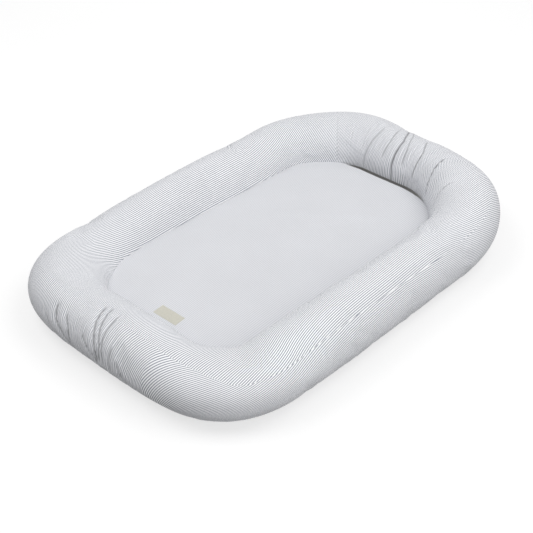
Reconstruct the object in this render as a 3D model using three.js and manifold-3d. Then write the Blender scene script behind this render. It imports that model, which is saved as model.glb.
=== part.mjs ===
// Infant lounger: a fat stuffed bolster ring round a thin padded mat, held together by one sewn cotton cover
// that opens with a zip along its underside.
// Millimetres, +Z up. The origin is on the floor under the middle, +X points to the head end and +Y to the
// left long side of a child lying on its back.
import * as THREE from 'three';
import { mergeVertices } from 'three/addons/utils/BufferGeometryUtils.js';
import Module from 'manifold-3d';

// Plan of the bolster ring
const PLAN_LENGTH = 916; // over both ends, before the gathers draw their middles in
const PLAN_WIDTH = 608;
const BOLSTER_WIDTH = 127;
const CORNER_FULLNESS = 18; // what the bolster is wider by on a corner's diagonal
const END_WAIST = 10; // how far the gathers draw in the middle of each end
const HEAD_LEFT_RADIUS = 183; // corner radii of the bolster's centreline: the ring is hand-stuffed and uneven
const FOOT_LEFT_RADIUS = 150;
const FOOT_RIGHT_RADIUS = 128;
const HEAD_RIGHT_RADIUS = 200;

// Section of the bolster
const SIDE_HEIGHT = 112;
const HEAD_HEIGHT = 140;
const FOOT_HEIGHT = 103;
const FLOOR_CUT = 0.5; // how much of the rounded underside the floor presses flat
const SECTION_POWER = 0.92; // below 1 the section is a little squarer than an ellipse
const FLOOR_HALF_ANGLE = THREE.MathUtils.degToRad(7);
const RISE_START_SHARE = 0.3; // shares of the half length over which the height changes
const RISE_END_SHARE = 0.9;

// Seams and gathers of the cover
const SIDE_CREST_ANGLE = THREE.MathUtils.degToRad(48); // crest seam, counted from straight out over the top
const FOOT_CREST_ANGLE = THREE.MathUtils.degToRad(77);
const CREST_TURN = 63; // length at the foot over which the crest seam climbs
const SEAM_TUCK = 5; // how far the bolster rolls over the mat's edge
const TUCK_START_ANGLE = THREE.MathUtils.degToRad(160);
const GATHER_DEPTH = 6;
const GATHER_STEPS = 6; // stations each way from the middle of an end that the gathers reach
const GATHER_EVERY = 3; // every third station is drawn in
const FOOT_GATHER_ANGLE = THREE.MathUtils.degToRad(20); // middle of the gathers on the section
const FOOT_GATHER_REACH = THREE.MathUtils.degToRad(78);
const HEAD_GATHER_ANGLE = THREE.MathUtils.degToRad(105);
const HEAD_GATHER_REACH = THREE.MathUtils.degToRad(68);

// Mat
const MAT_SEAM_HEIGHT = 60;
const MAT_CROWN = 10;
const MAT_ROLL = 10; // width of the rolled edge
const MAT_SHOULDER = 36; // width over which the mat reaches most of its height
const ROLL_RISE_SHARE = 0.45; // shares of the crown reached at the roll, the shoulder and the inner ring
const SHOULDER_RISE_SHARE = 0.8;
const INNER_RISE_SHARE = 0.95;
const INNER_RING_SHARE = 0.5;

// Cloth and clearances
const CLOTH = 1.2; // cotton with its thin lining
const GAP = 0.3; // between neighbours that touch on the real lounger
const OVERRUN = 5; // how far a cutter passes the faces that it cuts

// Woven label on the mat's foot edge
const LABEL_LENGTH = 56;
const LABEL_WIDTH = 23;
const LABEL_THICKNESS = 0.6;
const LABEL_OFFSET = -21; // its middle, along Y

// Zip along the underside
const ZIP_LENGTH = 490;
const TAPE_TAIL = 10; // tape past each end of the chain
const TAPE_WIDTH = 14;
const TAPE_THICKNESS = 0.8;
const COIL_WIDTH = 2.4;
const COIL_HEIGHT = 2.3;
const STOP_LENGTH = 3;
const SLIT_SIDE_MARGIN = 2.3;
const SLIT_END_MARGIN = 12;
const SLIT_POWER = 0.3; // near 0 the slit in the base is a rectangle, at 1 an ellipse
const SLIDER_LENGTH = 11;
const SLIDER_WIDTH = 9.6;
const SLIDER_PLATE = 1.2;
const SLIDER_POST = 1;
const BAIL_LENGTH = 8;
const BAIL_WIDTH = 2;
const BAIL_BAR = 1;
const BAIL_OPENING = 2.8;
const FLOOR_CLEARANCE = 1.6; // under the bail
const PULL_LENGTH = 24; // from the hinge axis to the tip
const PULL_WIDTH = 7;
const PULL_THICKNESS = 1.2;
const PULL_EYE_BAR = 1.4;

// Fineness of the curved pieces
const ARC_STEPS = 9;
const SIDE_STEPS = 4;
const HEAD_STEPS = 6;
const FOOT_STEPS = 12;
const TOP_ROWS = 8;
const OUTER_ROWS = 6;
const PULL_TIP_STEPS = 8;

// Places that follow from the sizes above
const HALF_LENGTH = (PLAN_LENGTH - BOLSTER_WIDTH) / 2; // of the centreline
const HALF_WIDTH = (PLAN_WIDTH - BOLSTER_WIDTH) / 2;
const BAIL_TOP = FLOOR_CLEARANCE + BAIL_BAR + BAIL_OPENING;
const PULL_AXIS_HEIGHT = FLOOR_CLEARANCE + BAIL_BAR + BAIL_OPENING / 2;
const COIL_BOTTOM = BAIL_TOP + SLIDER_PLATE + GAP;
const COIL_TOP = COIL_BOTTOM + COIL_HEIGHT;
const TAPE_BOTTOM = COIL_TOP + GAP;
const TAPE_TOP = TAPE_BOTTOM + TAPE_THICKNESS;
const SLIDER_TOP = TAPE_TOP + GAP + SLIDER_PLATE;
const BASE_TOP = TAPE_BOTTOM - GAP;
const BASE_BOTTOM = BASE_TOP - CLOTH;
const CHAIN_INNER = SLIDER_POST / 2 + GAP; // the coils and tapes start here, each side of the post
const COIL_OUTER = CHAIN_INNER + COIL_WIDTH;
const TAPE_OUTER = CHAIN_INNER + TAPE_WIDTH;
const COIL_END = ZIP_LENGTH / 2 - STOP_LENGTH - GAP;
const SLIDER_PLACE = COIL_END - SLIDER_LENGTH / 2;
const SLIT_HALF_LENGTH = ZIP_LENGTH / 2 + SLIT_END_MARGIN;
const SLIT_HALF_WIDTH = COIL_OUTER + SLIT_SIDE_MARGIN;

const wasm = await Module();
wasm.setup();

const finish = (color, roughness, metalness = 0) =>
  new THREE.MeshStandardMaterial({ color, roughness, metalness });
const STRIPED_COTTON = finish('#dcdde2', 0.92);
const LINING = finish('#f1f0ec', 0.95);
const WADDING = finish('#f7f6f2', 1);
const LABEL_CLOTH = finish('#c9c7b4', 0.88);
const ZIP_CLOTH = finish('#e9e9ea', 0.85);
const ZIP_NYLON = finish('#e2e2e4', 0.45);
const ZIP_METAL = finish('#b9bcc0', 0.32, 0.9);

const group = new THREE.Group();

// Adds a named piece to the lounger.
function add(name, geometry, material, parent = group) {
  const mesh = new THREE.Mesh(geometry, material);
  mesh.name = name;
  parent.add(mesh);
  return mesh;
}

const powerOf = (value, power) => Math.sign(value) * Math.abs(value) ** power;

// Six times the volume inside a triangle list, negative where its faces point in.
function signedVolume(points, triangles) {
  let sum = 0;
  for (let i = 0; i < triangles.length; i += 3) {
    const [a, b, c] = [points[triangles[i]], points[triangles[i + 1]], points[triangles[i + 2]]];
    sum += a.dot(b.clone().cross(c));
  }
  return sum;
}

// A closed body from rings of points, each joined to the next. With two caps the ends close on those points,
// and without them the last ring joins the first.
function bodyFromRings(rings, caps = null) {
  const count = rings[0].length;
  const points = rings.flat();
  const triangles = [];
  const bands = caps ? rings.length - 1 : rings.length;
  for (let i = 0; i < bands; i += 1) {
    const next = (i + 1) % rings.length;
    for (let j = 0; j < count; j += 1) {
      const k = (j + 1) % count;
      const [a, b, c, d] = [i * count + j, next * count + j, next * count + k, i * count + k];
      triangles.push(a, b, c, a, c, d);
    }
  }
  if (caps) {
    const last = (rings.length - 1) * count;
    for (let j = 0; j < count; j += 1) {
      const k = (j + 1) % count;
      triangles.push(points.length, j, k, last + j, points.length + 1, last + k);
    }
    points.push(...caps);
  }
  if (signedVolume(points, triangles) < 0) triangles.reverse();
  const geometry = new THREE.BufferGeometry().setFromPoints(points);
  geometry.setIndex(triangles);
  geometry.computeVertexNormals();
  return geometry;
}

// A block given by its lowest and highest corners.
function block(low, high) {
  const size = high.map((value, i) => value - low[i]);
  const centre = high.map((value, i) => (value + low[i]) / 2);
  return new THREE.BoxGeometry(...size).translate(...centre);
}

// A closed geometry as a solid that can be cut and joined.
function solid(geometry) {
  const bare = geometry.clone();
  bare.deleteAttribute('normal');
  bare.deleteAttribute('uv');
  const merged = mergeVertices(bare);
  const triVerts = new Uint32Array(merged.index.array);
  const vertProperties = new Float32Array(merged.attributes.position.array);
  return new wasm.Manifold(new wasm.Mesh({ numProp: 3, vertProperties, triVerts }));
}

function geometryOf(manifold) {
  const { vertProperties, triVerts } = manifold.getMesh();
  const geometry = new THREE.BufferGeometry();
  geometry.setAttribute('position', new THREE.BufferAttribute(vertProperties, 3));
  geometry.setIndex(new THREE.BufferAttribute(triVerts, 1));
  geometry.computeVertexNormals();
  return geometry;
}

// Bolster: half its height at a place along the lounger.
function halfHeightAt(x) {
  const reach = Math.abs(x) / HALF_LENGTH;
  const rise = THREE.MathUtils.smoothstep(reach, RISE_START_SHARE, RISE_END_SHARE);
  const endHeight = x > 0 ? HEAD_HEIGHT : FOOT_HEIGHT;
  return THREE.MathUtils.lerp(SIDE_HEIGHT, endHeight, rise) / 2;
}

// The crest seam climbs from the side of the bolster to near its top at the foot end.
function crestAngleAt(x) {
  const climb = THREE.MathUtils.smoothstep(-x, HALF_LENGTH - CREST_TURN, HALF_LENGTH);
  return THREE.MathUtils.lerp(SIDE_CREST_ANGLE, FOOT_CREST_ANGLE, climb);
}

// A station is a place on the centreline: its point, the direction out of the ring and the section's sizes there.
function makeStation(x, y, outX, outY, fullness) {
  const waist = END_WAIST * (1 - (y / HALF_WIDTH) ** 2) * Math.abs(outX);
  return {
    x: x - Math.sign(x) * waist,
    y,
    outX,
    outY,
    gather: 0,
    halfWidth: (BOLSTER_WIDTH + fullness) / 2,
    halfHeight: halfHeightAt(x),
    crestAngle: crestAngleAt(x),
  };
}

// Stations round one corner, whose arc starts at a quarter turn's multiple.
function cornerStations(signX, signY, radius, quarter) {
  const centreX = signX * (HALF_LENGTH - radius);
  const centreY = signY * (HALF_WIDTH - radius);
  const list = [];
  for (let i = 0; i <= ARC_STEPS; i += 1) {
    const turn = ((i / ARC_STEPS) * Math.PI) / 2;
    const angle = turn + (quarter * Math.PI) / 2;
    const [outX, outY] = [Math.cos(angle), Math.sin(angle)];
    const fullness = CORNER_FULLNESS * Math.sin(2 * turn) ** 2;
    list.push(makeStation(centreX + radius * outX, centreY + radius * outY, outX, outY, fullness));
  }
  return list;
}

// Stations on the straight run between two corners, without its two ends.
function runStations(from, to, steps) {
  const straight = (start, end) => (i) => THREE.MathUtils.lerp(start, end, i / steps);
  const side = Math.abs(from.outY) > Math.abs(from.outX);
  const lineX = side ? straight(from.x, to.x) : () => Math.sign(from.x) * HALF_LENGTH;
  const lineY = straight(from.y, to.y);
  const list = [];
  for (let i = 1; i < steps; i += 1) list.push(makeStation(lineX(i), lineY(i), from.outX, from.outY, 0));
  return list;
}

// The stations that the gathers draw in lie at even steps each way from the middle of an end.
function drawIn(stations, middle) {
  for (let step = -GATHER_STEPS; step <= GATHER_STEPS; step += GATHER_EVERY) {
    stations[(middle + step + stations.length) % stations.length].gather = GATHER_DEPTH;
  }
}

// The whole ring, anticlockwise from the head end's left corner.
function makeStations() {
  const headLeft = cornerStations(1, 1, HEAD_LEFT_RADIUS, 0);
  const footLeft = cornerStations(-1, 1, FOOT_LEFT_RADIUS, 1);
  const footRight = cornerStations(-1, -1, FOOT_RIGHT_RADIUS, 2);
  const headRight = cornerStations(1, -1, HEAD_RIGHT_RADIUS, 3);
  const leftSide = runStations(headLeft[ARC_STEPS], footLeft[0], SIDE_STEPS);
  const foot = runStations(footLeft[ARC_STEPS], footRight[0], FOOT_STEPS);
  const rightSide = runStations(footRight[ARC_STEPS], headRight[0], SIDE_STEPS);
  const head = runStations(headRight[ARC_STEPS], headLeft[0], HEAD_STEPS);
  const stations = [headLeft, leftSide, footLeft, foot, footRight, rightSide, headRight, head].flat();
  const footMiddle = headLeft.length + leftSide.length + footLeft.length - 1 + FOOT_STEPS / 2;
  const headMiddle = stations.length - HEAD_STEPS / 2;
  drawIn(stations, footMiddle);
  drawIn(stations, headMiddle);
  return { stations, footMiddle, headMiddle };
}

// Gathers fade out along the section, away from their middle.
function gatherAt(station, angle) {
  const atHead = station.x > 0;
  const middle = atHead ? HEAD_GATHER_ANGLE : FOOT_GATHER_ANGLE;
  const reach = atHead ? HEAD_GATHER_REACH : FOOT_GATHER_REACH;
  const off = Math.min(Math.abs(angle - middle) / reach, 1);
  return station.gather * Math.cos((off * Math.PI) / 2) ** 2;
}

// The angle on the section, on its outer half, at which it passes a height.
function angleAtHeight(station, height) {
  const share = (height + FLOOR_CUT - station.halfHeight) / station.halfHeight;
  return Math.asin(powerOf(share, 1 / SECTION_POWER));
}

const matSeamAngle = (station) => Math.PI - angleAtHeight(station, MAT_SEAM_HEIGHT);
const baseLeaveAngle = (station) => -Math.PI - angleAtHeight(station, BASE_BOTTOM);

// A point on a station's plane: its distance out of the ring from the centreline, and its height.
function place(station, out, height) {
  return new THREE.Vector3(station.x + station.outX * out, station.y + station.outY * out, height);
}

// A point of the bolster's section, at a depth below the outer face of the cover.
function sectionPoint(station, angle, depth) {
  const inset = depth + gatherAt(station, angle);
  const wide = (station.halfWidth - inset) * powerOf(Math.cos(angle), SECTION_POWER);
  const high = (station.halfHeight - inset) * powerOf(Math.sin(angle), SECTION_POWER);
  const seam = matSeamAngle(station);
  const tuck = SEAM_TUCK * THREE.MathUtils.smoothstep(angle, TUCK_START_ANGLE, seam);
  const out = angle > seam ? Math.max(wide + tuck, wallPlace(station) + depth) : wide + tuck;
  return place(station, out, Math.max(station.halfHeight + high - FLOOR_CUT, depth));
}

// Where the channel wall's face towards the mat stands on a station's plane.
const wallPlace = (station) => SEAM_TUCK - station.halfWidth;

const anglesBetween = (from, to, rows) =>
  Array.from({ length: rows + 1 }, (_, i) => THREE.MathUtils.lerp(from, to, i / rows));

// Half the seam's gap as an angle on the section.
const seamGapAngle = (station) => GAP / 2 / station.halfHeight;

function topAngles(station) {
  return anglesBetween(station.crestAngle + seamGapAngle(station), matSeamAngle(station), TOP_ROWS);
}

function outerAngles(station) {
  const floorStart = FLOOR_HALF_ANGLE - Math.PI / 2;
  return anglesBetween(station.crestAngle - seamGapAngle(station), floorStart, OUTER_ROWS);
}

const floorEndAngle = -Math.PI / 2 - FLOOR_HALF_ANGLE;

// The outer face of a cloth layer and its inner face, as one closed loop.
const clothLoop = (outer, inner) => [...outer, ...inner.reverse()];

// Top sleeve of the cover, over the bolster from the crest seam to the mat seam.
function bolsterPanel(stations) {
  const loop = (station) => {
    const face = (depth) => topAngles(station).map((angle) => sectionPoint(station, angle, depth));
    return clothLoop(face(0), face(CLOTH));
  };
  return bodyFromRings(stations.map(loop));
}

// The slit for the zip, met by the station's share of the base.
function slitPoint(station, height) {
  const angle = Math.atan2(station.y / HALF_WIDTH, station.x / HALF_LENGTH);
  const x = SLIT_HALF_LENGTH * powerOf(Math.cos(angle), SLIT_POWER);
  const y = SLIT_HALF_WIDTH * powerOf(Math.sin(angle), SLIT_POWER);
  return new THREE.Vector3(x, y, height);
}

// Base sheet of the cover: down the outside from the crest seam, under the bolster and across to the slit.
function basePanel(stations) {
  const loop = (station) => {
    const angles = [...outerAngles(station), floorEndAngle, baseLeaveAngle(station)];
    const face = (depth) => [
      ...angles.map((angle) => sectionPoint(station, angle, depth)),
      slitPoint(station, BASE_BOTTOM + depth),
    ];
    return clothLoop(face(0), face(CLOTH));
  };
  return bodyFromRings(stations.map(loop));
}

// Inner wall of the bolster's channel, from the mat seam down to the base.
function channelWall(stations) {
  const loop = (station) => {
    const face = wallPlace(station);
    const back = face + CLOTH;
    const [low, high] = [BASE_TOP + GAP, MAT_SEAM_HEIGHT - 2 * GAP];
    return [place(station, face, high), place(station, face, low), place(station, back, low), place(station, back, high)];
  };
  return bodyFromRings(stations.map(loop));
}

// One half of the bolster's stuffing, as sections from one end of it to the other.
function bolsterCore(stations) {
  const depth = CLOTH + GAP;
  const section = (station) => {
    const outer = outerAngles(station).filter((_, i) => i % 2 === 0);
    const under = [floorEndAngle, baseLeaveAngle(station)];
    const seam = matSeamAngle(station);
    const wall = [baseLeaveAngle(station) + 2 * Math.PI, seam];
    const inner = [THREE.MathUtils.lerp(...wall, 1 / 3), THREE.MathUtils.lerp(...wall, 2 / 3)];
    const top = topAngles(station).filter((_, i) => i >= TOP_ROWS - 2 || (i > 0 && i % 2 === 0));
    return [...outer, ...under, ...inner, ...top.reverse()].map((angle) => sectionPoint(station, angle, depth));
  };
  const middle = (station) => place(station, 0, station.halfHeight);
  return bodyFromRings(stations.map(section), [middle(stations[0]), middle(stations.at(-1))]);
}

// A station moved along the centreline, towards the left or the right side of the lounger.
const movedAside = (station, distance) => ({ ...station, y: station.y + distance });

// The stuffing comes as two halves that meet behind the gathers in the middle of each end.
function coreStations({ stations, footMiddle, headMiddle }, isLeft) {
  const between = isLeft ? [...stations.slice(0, footMiddle)] : stations.slice(footMiddle + 1, headMiddle);
  const lead = isLeft ? stations.slice(headMiddle + 1) : [];
  const shift = isLeft ? GAP / 2 : -GAP / 2;
  const head = movedAside(stations[headMiddle], shift);
  const foot = movedAside(stations[footMiddle], shift);
  return isLeft ? [head, ...lead, ...between, foot] : [foot, ...between, head];
}

// A ring of the mat, at a distance in from its seam.
function matRing(stations, inward, height) {
  return stations.map((station) => place(station, wallPlace(station) - GAP - inward, height));
}

// The crowned upper face of the mat as rings from its seam inwards, each a drop below the cover's top.
function crownRings(stations, drop) {
  const heightAt = (share) => MAT_SEAM_HEIGHT + MAT_CROWN * share - drop;
  const shoulder = matRing(stations, MAT_SHOULDER, heightAt(SHOULDER_RISE_SHARE));
  const shrink = new THREE.Vector3(INNER_RING_SHARE, INNER_RING_SHARE, 1);
  const inner = shoulder.map((point) => point.clone().multiply(shrink).setZ(heightAt(INNER_RISE_SHARE)));
  return {
    rings: [matRing(stations, 0, heightAt(0)), matRing(stations, MAT_ROLL, heightAt(ROLL_RISE_SHARE)), shoulder, inner],
    centre: new THREE.Vector3(0, 0, heightAt(1)),
  };
}

// Cover of the mat, a sheet with its crown and drawn-in edge.
function centerPanel(stations) {
  const top = crownRings(stations, 0);
  const under = crownRings(stations, CLOTH);
  return bodyFromRings([...top.rings.reverse(), ...under.rings], [top.centre, under.centre]);
}

// Pad inside the mat, with a groove underneath for the zip.
function mattressCore(stations) {
  const top = crownRings(stations, CLOTH + GAP);
  const floor = BASE_TOP + GAP;
  const bottom = matRing(stations, 0, floor);
  const pad = bodyFromRings([...top.rings.reverse(), bottom], [top.centre, new THREE.Vector3(0, 0, floor)]);
  const grooveLength = ZIP_LENGTH / 2 + TAPE_TAIL + GAP;
  const grooveWidth = TAPE_OUTER + GAP;
  const low = [-grooveLength, -grooveWidth, floor - OVERRUN];
  const groove = block(low, [grooveLength, grooveWidth, SLIDER_TOP + GAP]);
  return geometryOf(solid(pad).subtract(solid(groove)));
}

// Woven label, sewn flat on the slope between the mat's roll and its shoulder.
function wovenLabel({ stations, footMiddle }) {
  const run = MAT_SHOULDER - MAT_ROLL;
  const rise = MAT_CROWN * (SHOULDER_RISE_SHARE - ROLL_RISE_SHARE);
  const slope = Math.atan2(rise, run);
  const station = stations[footMiddle];
  const middle = (MAT_SHOULDER + MAT_ROLL) / 2;
  const height = MAT_SEAM_HEIGHT + (MAT_CROWN * (ROLL_RISE_SHARE + SHOULDER_RISE_SHARE)) / 2;
  const label = add('woven_label', new THREE.BoxGeometry(LABEL_WIDTH, LABEL_LENGTH, LABEL_THICKNESS), LABEL_CLOTH);
  label.position.copy(place(station, wallPlace(station) - GAP - middle, height));
  label.position.y = LABEL_OFFSET;
  label.rotation.y = -slope;
  label.translateZ(GAP + LABEL_THICKNESS / 2);
}

// One side of the zip: its tape, its coil and the stop at the closed end.
function zipSide(side, sign) {
  const across = (from, to) => [from * sign, to * sign].sort((a, b) => a - b);
  const strip = (fromX, toX, width, fromZ, toZ) => {
    const [fromY, toY] = across(CHAIN_INNER, width);
    return block([fromX, fromY, fromZ], [toX, toY, toZ]);
  };
  const tapeEnd = ZIP_LENGTH / 2 + TAPE_TAIL;
  add(`zip_tape_${side}`, strip(-tapeEnd, tapeEnd, TAPE_OUTER, TAPE_BOTTOM, TAPE_TOP), ZIP_CLOTH);
  add(`zip_coil_${side}`, strip(-COIL_END, COIL_END, COIL_OUTER, COIL_BOTTOM, COIL_TOP), ZIP_NYLON);
  const stop = strip(COIL_END + GAP, ZIP_LENGTH / 2, COIL_OUTER, COIL_BOTTOM, COIL_TOP);
  add(`zip_top_stop_${side}`, stop, ZIP_METAL);
}

// The stop at the end where the opened zip still holds together.
function zipBottomStop() {
  const low = [-ZIP_LENGTH / 2, -COIL_OUTER, COIL_BOTTOM];
  add('zip_bottom_stop', block(low, [-COIL_END - GAP, COIL_OUTER, COIL_TOP]), ZIP_METAL);
}

// Slider: two plates on a post between the coils, and the bail underneath that holds the pull.
function zipSlider() {
  const plate = (from, to, halfLength, halfWidth) =>
    solid(block([-halfLength, -halfWidth, from], [halfLength, halfWidth, to]));
  const half = SLIDER_LENGTH / 2;
  const upper = plate(SLIDER_TOP - SLIDER_PLATE, SLIDER_TOP, half, SLIDER_WIDTH / 2);
  const lower = plate(BAIL_TOP, BAIL_TOP + SLIDER_PLATE, half, SLIDER_WIDTH / 2);
  const post = plate(BAIL_TOP, SLIDER_TOP, half, SLIDER_POST / 2);
  const arch = plate(FLOOR_CLEARANCE, BAIL_TOP + SLIDER_PLATE, BAIL_LENGTH / 2, BAIL_WIDTH / 2);
  const hollow = plate(FLOOR_CLEARANCE + BAIL_BAR, BAIL_TOP, BAIL_LENGTH / 2 - BAIL_BAR, BAIL_WIDTH / 2 + OVERRUN);
  const slider = upper.add(lower).add(post).add(arch).subtract(hollow);
  add('zip_slider', geometryOf(slider), ZIP_METAL).position.x = SLIDER_PLACE;
}

// Pull: a plate with a rounded tip, whose eye goes round the bail.
function zipPull() {
  const half = PULL_WIDTH / 2;
  const eyeEnd = PULL_EYE_BAR / 2;
  const outline = new THREE.Shape();
  outline.moveTo(eyeEnd, -half);
  outline.lineTo(eyeEnd, half);
  outline.lineTo(half - PULL_LENGTH, half);
  outline.absarc(half - PULL_LENGTH, 0, half, Math.PI / 2, (3 * Math.PI) / 2, false);
  const eyeSide = BAIL_WIDTH / 2 + GAP;
  const eyeFar = BAIL_LENGTH / 2 + BAIL_BAR;
  const eye = new THREE.Path();
  eye.moveTo(-eyeEnd, -eyeSide);
  eye.lineTo(-eyeFar, -eyeSide);
  eye.lineTo(-eyeFar, eyeSide);
  eye.lineTo(-eyeEnd, eyeSide);
  outline.holes.push(eye);
  const options = { depth: PULL_THICKNESS, bevelEnabled: false, curveSegments: PULL_TIP_STEPS };
  const pull = new THREE.ExtrudeGeometry(outline, options);
  add('zip_pull', pull, ZIP_METAL).position.set(SLIDER_PLACE, 0, PULL_AXIS_HEIGHT - PULL_THICKNESS / 2);
}

const ring = makeStations();
add('bolster_panel', bolsterPanel(ring.stations), STRIPED_COTTON);
add('base_panel', basePanel(ring.stations), STRIPED_COTTON);
add('channel_wall', channelWall(ring.stations), LINING);
add('center_panel', centerPanel(ring.stations), STRIPED_COTTON);
add('bolster_core_left', bolsterCore(coreStations(ring, true)), WADDING);
add('bolster_core_right', bolsterCore(coreStations(ring, false)), WADDING);
add('mattress_core', mattressCore(ring.stations), WADDING);
wovenLabel(ring);
zipSide('left', 1);
zipSide('right', -1);
zipBottomStop();
zipSlider();
zipPull();

export default group;
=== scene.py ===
"""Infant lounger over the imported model: striped cover, stuffed ring, mat, woven label and underside zip."""

import logging
import math
from dataclasses import dataclass, field
from enum import Enum
from typing import Any, Callable, Sequence

import bpy
import numpy as np
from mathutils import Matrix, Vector


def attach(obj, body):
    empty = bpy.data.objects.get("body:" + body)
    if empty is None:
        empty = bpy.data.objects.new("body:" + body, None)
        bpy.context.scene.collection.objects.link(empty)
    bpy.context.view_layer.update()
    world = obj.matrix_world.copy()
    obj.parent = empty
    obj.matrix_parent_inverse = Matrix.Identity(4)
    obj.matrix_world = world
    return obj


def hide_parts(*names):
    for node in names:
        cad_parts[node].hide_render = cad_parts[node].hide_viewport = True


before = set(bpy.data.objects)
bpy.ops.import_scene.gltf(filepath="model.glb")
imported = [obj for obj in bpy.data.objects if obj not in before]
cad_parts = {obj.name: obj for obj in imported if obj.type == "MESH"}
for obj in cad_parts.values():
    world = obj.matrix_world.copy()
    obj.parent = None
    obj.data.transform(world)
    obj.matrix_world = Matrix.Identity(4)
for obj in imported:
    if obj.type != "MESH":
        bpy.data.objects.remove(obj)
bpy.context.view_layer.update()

LOG = logging.getLogger("lounger")
MM = 0.001  # metres in a millimetre; sizes below are in millimetres, and meshes are made in metres
IMAGE_SIDE = 533  # pixels of the square picture
SENSOR = 36.0
SEED = 7
CLOTH_EDGE = 62  # degrees; a cloth turns more than this at its edges only
FLOOR_GAP = 0.2  # millimetres that the cover's face stays above the floor
Array = np.ndarray


class Slot(Enum):
    """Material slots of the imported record."""

    COTTON = "striped_cotton"
    LINING = "lining_cloth"
    FILLING = "fibre_filling"
    LABEL = "label_cloth"
    TAPE = "zip_tape"
    COIL = "zip_coil"
    METAL = "zip_metal"


class Body(Enum):
    """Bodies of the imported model."""

    ROOT = "root"
    SLIDER = "zip_slider_body"
    PULL = "zip_pull_body"


class End(Enum):
    """Ends of the lounger, by the place of their middle along the ring from the foot end's middle."""

    FOOT = "foot"
    HEAD = "head"


# Small helpers


def smoothstep(value: Array, low: Array | float, high: Array | float) -> Array:
    """Eases from 0 at low to 1 at high.

    Args:
        value: Numbers to ease.
        low: Where the rise starts.
        high: Where the rise ends.

    Returns:
        The eased numbers.
    """
    share = np.clip((value - low) / (high - low), 0.0, 1.0)
    return share * share * (3.0 - 2.0 * share)


def power_of(value: Array, power: float) -> Array:
    """Raises to a power and keeps the sign."""
    return np.sign(value) * np.abs(value) ** power


def through_marks(
    around: Array, places: Sequence[float], values: Sequence[float], lap: float, gain: float = 0.0
) -> Array:
    """Smooth curve through marks that are set round the ring.

    Args:
        around: Millimetres of centreline at which the curve is wanted, from 0 to one lap.
        places: Millimetres of centreline of the marks, rising from 0.
        values: What the curve passes at the marks.
        lap: Millimetres of centreline once round.
        gain: What the values gain once round.

    Returns:
        The curve's values.
    """
    count = len(places)
    numbers = range(-2, count + 2)
    at = np.array([places[i % count] + lap * (i // count) for i in numbers])
    value = np.array([values[i % count] + gain * (i // count) for i in numbers])
    steps = np.diff(at)
    slopes = np.diff(value) / steps
    tangents = (slopes[:-1] * steps[1:] + slopes[1:] * steps[:-1]) / (steps[1:] + steps[:-1])
    at, value = at[1:-1], value[1:-1]
    index = np.clip(np.searchsorted(at, around, side="right") - 1, 0, len(at) - 2)
    step = at[index + 1] - at[index]
    share = (around - at[index]) / step
    start = value[index] * (1 + 2 * share) + step * tangents[index] * share
    end = value[index + 1] * (3 - 2 * share) - step * tangents[index + 1] * (1 - share)
    return start * (1 - share) ** 2 + end * share**2


def linear(hex_colour: str) -> tuple[float, float, float, float]:
    """Turns an sRGB hex colour into linear light.

    Args:
        hex_colour: Colour such as "#d8dade".

    Returns:
        Red, green, blue and alpha, linear.
    """
    parts = [int(hex_colour[i : i + 2], 16) / 255.0 for i in (1, 3, 5)]
    red, green, blue = (p / 12.92 if p <= 0.04045 else ((p + 0.055) / 1.055) ** 2.4 for p in parts)
    return red, green, blue, 1.0


def add_node(
    tree: bpy.types.NodeTree, kind: str, inputs: dict[Any, Any] | None = None, **settings: Any
) -> Any:
    """Adds a shader node with its settings and links.

    Args:
        tree: Node tree that gets it.
        kind: The node's type name.
        inputs: Values or (node, output) links by input name or number.
        **settings: Properties of the node.

    Returns:
        The new node.
    """
    made = tree.nodes.new(kind)
    for name, value in settings.items():
        setattr(made, name, value)
    for name, value in (inputs or {}).items():
        if isinstance(value, tuple) and len(value) == 2 and isinstance(value[0], bpy.types.Node):
            tree.links.new(value[0].outputs[value[1]], made.inputs[name])
        else:
            made.inputs[name].default_value = value
    return made


def deselect_all() -> None:
    """Leaves nothing selected or active, as every modelling operator needs."""
    for item in bpy.context.selected_objects:
        item.select_set(False)
    bpy.context.view_layer.objects.active = None


def select_only(piece: bpy.types.Object) -> None:
    """Makes one piece the only selected and the active one.

    Args:
        piece: The piece.
    """
    deselect_all()
    piece.select_set(True)
    bpy.context.view_layer.objects.active = piece


def finish_piece(
    piece: bpy.types.Object,
    body: Body,
    material: bpy.types.Material,
    nodes: Sequence[str] = (),
) -> bpy.types.Object:
    """Dresses a piece and hangs it on its body.

    Args:
        piece: The piece, in place.
        body: Body that it rides on.
        material: Its material.
        nodes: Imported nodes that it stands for.

    Returns:
        The piece.
    """
    piece.data.materials.clear()
    piece.data.materials.append(material)
    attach(piece, body.value)
    if nodes:
        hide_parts(*nodes)
    LOG.info("%s: %d faces on %s", piece.name, len(piece.data.polygons), body.value)
    return piece


def apply_modifiers(piece: bpy.types.Object) -> None:
    """Applies every modifier of a piece, in order.

    Args:
        piece: The piece.
    """
    select_only(piece)
    for modifier in list(piece.modifiers):
        bpy.ops.object.modifier_apply(modifier=modifier.name)


def recalculate(piece: bpy.types.Object) -> None:
    """Turns every face of a closed piece outwards.

    Args:
        piece: The piece.
    """
    select_only(piece)
    bpy.ops.object.mode_set(mode="EDIT")
    bpy.ops.mesh.select_all(action="SELECT")
    bpy.ops.mesh.normals_make_consistent(inside=False)
    bpy.ops.object.mode_set(mode="OBJECT")


def new_object(name: str, mesh: bpy.types.Mesh) -> bpy.types.Object:
    """Puts a mesh into the scene as an object at the origin.

    Args:
        name: Name of the piece.
        mesh: Its mesh.

    Returns:
        The object.
    """
    piece = bpy.data.objects.new(name, mesh)
    bpy.context.scene.collection.objects.link(piece)
    return piece


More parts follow.
